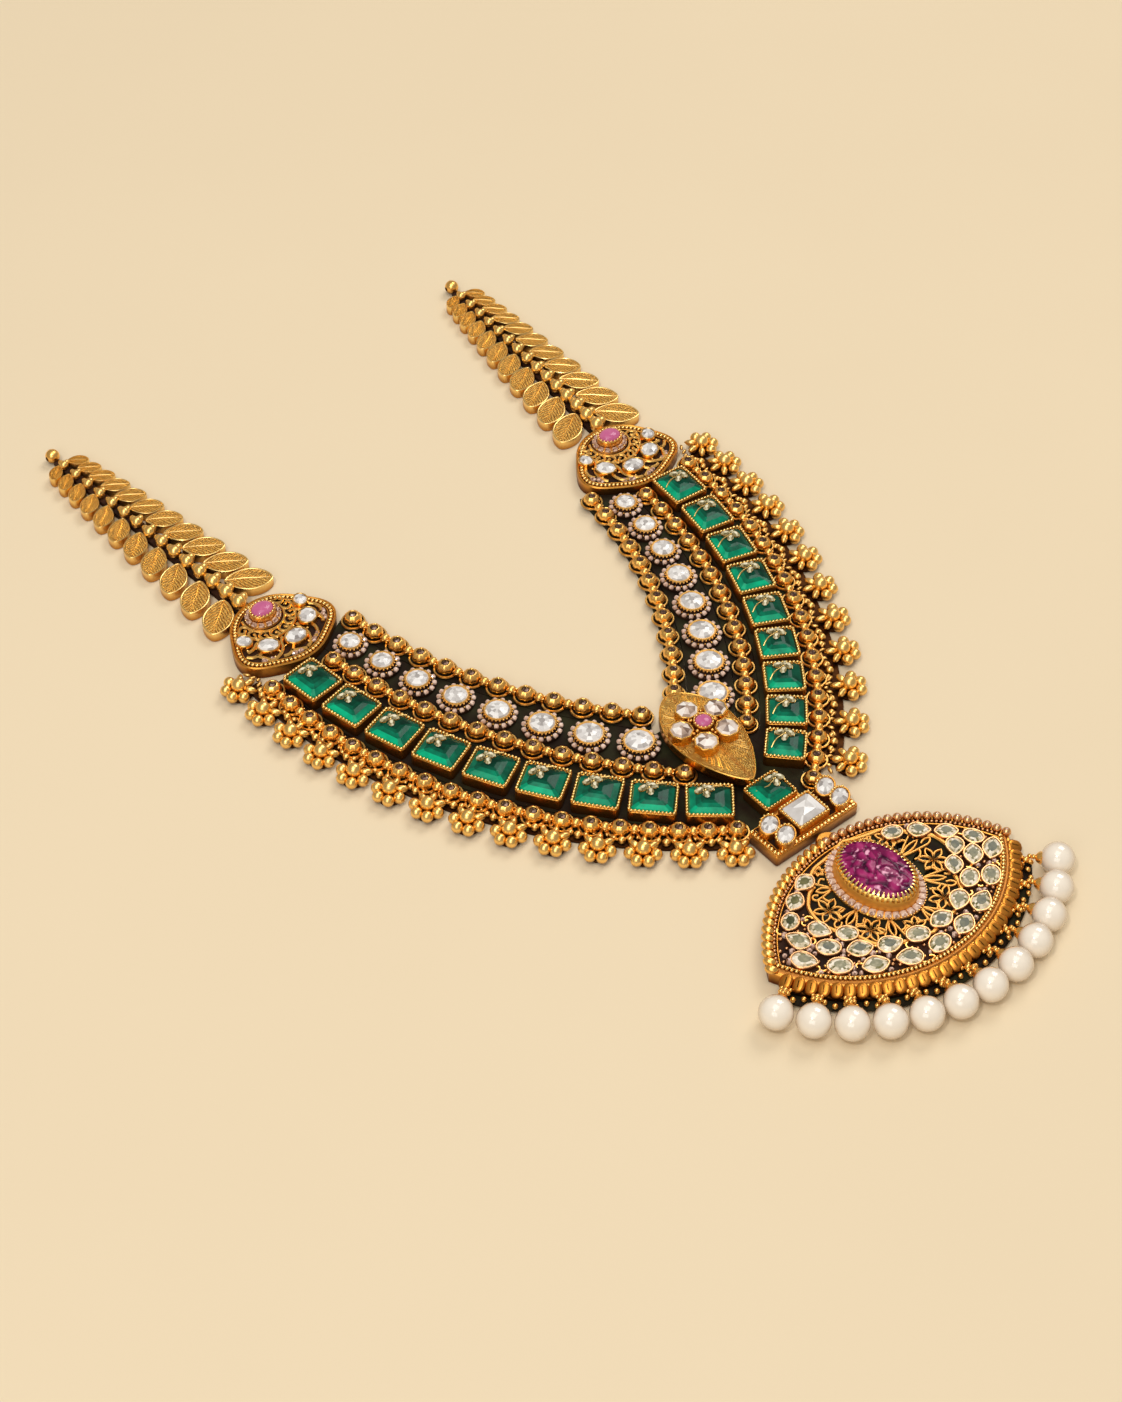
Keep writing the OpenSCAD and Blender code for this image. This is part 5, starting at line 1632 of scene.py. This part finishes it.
def makePendantStones():
    top = pendant["top"]
    collars, stones, places = [], [], []
    for kind, r0, r1, t0, t1, count, l, w in pendant["stones"]:
        for k in range(count):
            part = k / (count - 1)
            t = t0 + (t1 - t0) * part
            places.append((*polar(r0 + (r1 - r0) * part, t, 0.0, -kind * pendant["gap"]), t + 90, l, w))
    source = random.Random(5)
    for j, (x, y, turn, l, w) in enumerate(places):
        outline = [[(px - l * 0.54, py) for px, py in leafOutline(l * 1.08, w * 1.06, 0.78, 10)],
                   oval(l, w, 20),
                   [(px - l * 0.55, py) for px, py in leafOutline(l * 1.1, w * 1.04, 1.0, 10)]][j % 3]
        swing = turn + source.uniform(-14, 14) + (180 if j % 2 else 0)
        collars.append(placed(collar(inset(outline, -0.36), 0.46, top - 0.3, top + 1.08, top + 0.3, 0.14),
                              x, y, 0, swing))
        stones.append(placed(cutStone(outline, [
            (top + 0.32, 0.92), (top + 0.92, 0.94), (top + 1.20, 0.74), (top + 1.33, 0.52)], spread=0.40,
                                      seed=50 + j,
            table=source.uniform(0.0, 0.3), base=0.62), x, y, 0, swing))
    makeStones("pendant_stone_cuts", onPendant(joined(stones)), polkiOld, ["pendant_polki"])
    makePiece("pendant_stone_collars", onPendant(joined(collars)), roseGold)

    # small diamonds, grains and curved wires fill the field between the stones
    edge = pendantOutline(2.9)
    specks, dots, vines, tries = [], [], [], 0
    taken = [(x, y, 2.6) for x, y, turn, l, w in places]
    while len(specks) + len(dots) + len(vines) < 190 and tries < 5000:
        tries += 1
        x, y = source.uniform(-31, 31), source.uniform(-36, 2)
        if (not insidePath(x, y, edge) or insidePath(x, y, frameLine)
                or any(math.hypot(x - px, y - py) < gap for px, py, gap in taken)
                or min(math.hypot(x - px, y - py) for px, py in frameLine) < 0.8):
            continue
        kind = (len(specks) + len(dots) + len(vines)) % 5
        turn = source.uniform(0, 360)
        if kind in (0, 3):
            specks.append(seatSpot(pendantSeat, x, y, top + 0.32, turn, source.uniform(0.8, 1.2)))
        elif kind in (1, 4):
            dots.append(seatSpot(pendantSeat, x, y, top + 0.3, turn, source.uniform(0.8, 1.2)))
        else:
            # a scroll: an arc whose end curls in
            scroll = [polar(1 - 0.55 * (k / 12) ** 2.2, turn + 200 * k / 12, x, y) for k in range(13)]
            vines.append(pendantLine(scroll, top + 0.3))
        taken.append((x, y, 1.05))
    square = cutStone(oval(1.2, 1.2, 6), [(-0.3, 1.0), (0.34, 1.0), (0.66, 0.45)], spread=0.5, seed=9)
    setStones("pendant_field_diamonds", square, specks, smallDiamond)
    setPieces("pendant_field_grains", ball(0.42, 7, 5), dots, roseGold)
    wireLine("pendant_field_vines", vines, 0.5, 0.5, goldSatin)


makePendantBody()
makePendantEdge()
makeJali()
makeRuby()
makePendantStones()
print("stage: pendant made")

# Pearls keep their own solids; the hangers get caps and grains
pearlSet = {"number": 12, "size": 7.3, "arc": 45.7, "first": -145.0, "last": -39.4}


def makePearls():
    r, grainBall = pearlSet["size"] / 2, ball(0.62, 9, 6)
    caps, grains, drops = [], [], []
    for i in range(pearlSet["number"]):
        name = "pearl_" + str(i + 1)
        node = bpy.data.objects.get(name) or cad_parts[name]
        node.data.materials.clear()
        node.data.materials.append(pearlLustre)
        a = pearlSet["first"] + (pearlSet["last"] - pearlSet["first"]) * i / (pearlSet["number"] - 1)
        reach = pearlSet["arc"] - r
        caps.append(seatSpot(pendantSeat, *polar(reach - 0.15, a), r, a, 1.0))
        for out, side, z, s in ((-2.9, 0.0, 2.7, 1.25), (-2.1, -0.75, 3.1, 0.9), (-2.1, 0.75, 3.1, 0.9),
                                (-1.4, 0.0, 3.9, 0.9), (-3.6, 0.9, 2.3, 0.85), (-3.6, -0.9, 2.3, 0.85)):
            grains.append(seatSpot(pendantSeat, *turned(reach + out, side, a), z, a, s))
    cap = lying(lathe([(0.0, -1.7), (0.34, -1.65), (0.36, -0.9), (0.8, -0.7), (1.25, -0.2), (1.5, 0.42),
                       (1.35, 0.5),
                       (0.9, -0.05), (0.3, -0.3), (0.0, -0.32)], 14, 7, 0.16))
    setPieces("pearl_caps", cap, caps, goldSatin, ["pearl_hangers"], sharp=60)
    setPieces("pearl_hanger_grains", grainBall, grains, gold)
    # a dark rail behind the pearls paints the shade in the gap between the scales and the pearls
    rail = arcPath(pendant["lower"] + 3.0, pearlSet["first"] - 1, pearlSet["last"] + 1, 60)
    wireLine("pearl_rail", [pendantLine(rail, 0.7)], 2.6, 1.2, ground)
    for k in range(36):
        a = -145.2 + 106.0 * k / 35
        reach = pendant["lower"] + (3.9 if k % 2 else 3.2)
        drops.append(seatSpot(pendantSeat, *polar(reach, a), 1.9, a, 1.05))
    setPieces("pearl_rail_grains", grainBall, drops, gold)


makePearls()
print("stage: pearls made")

for item in models:
    bpy.data.objects.remove(item)
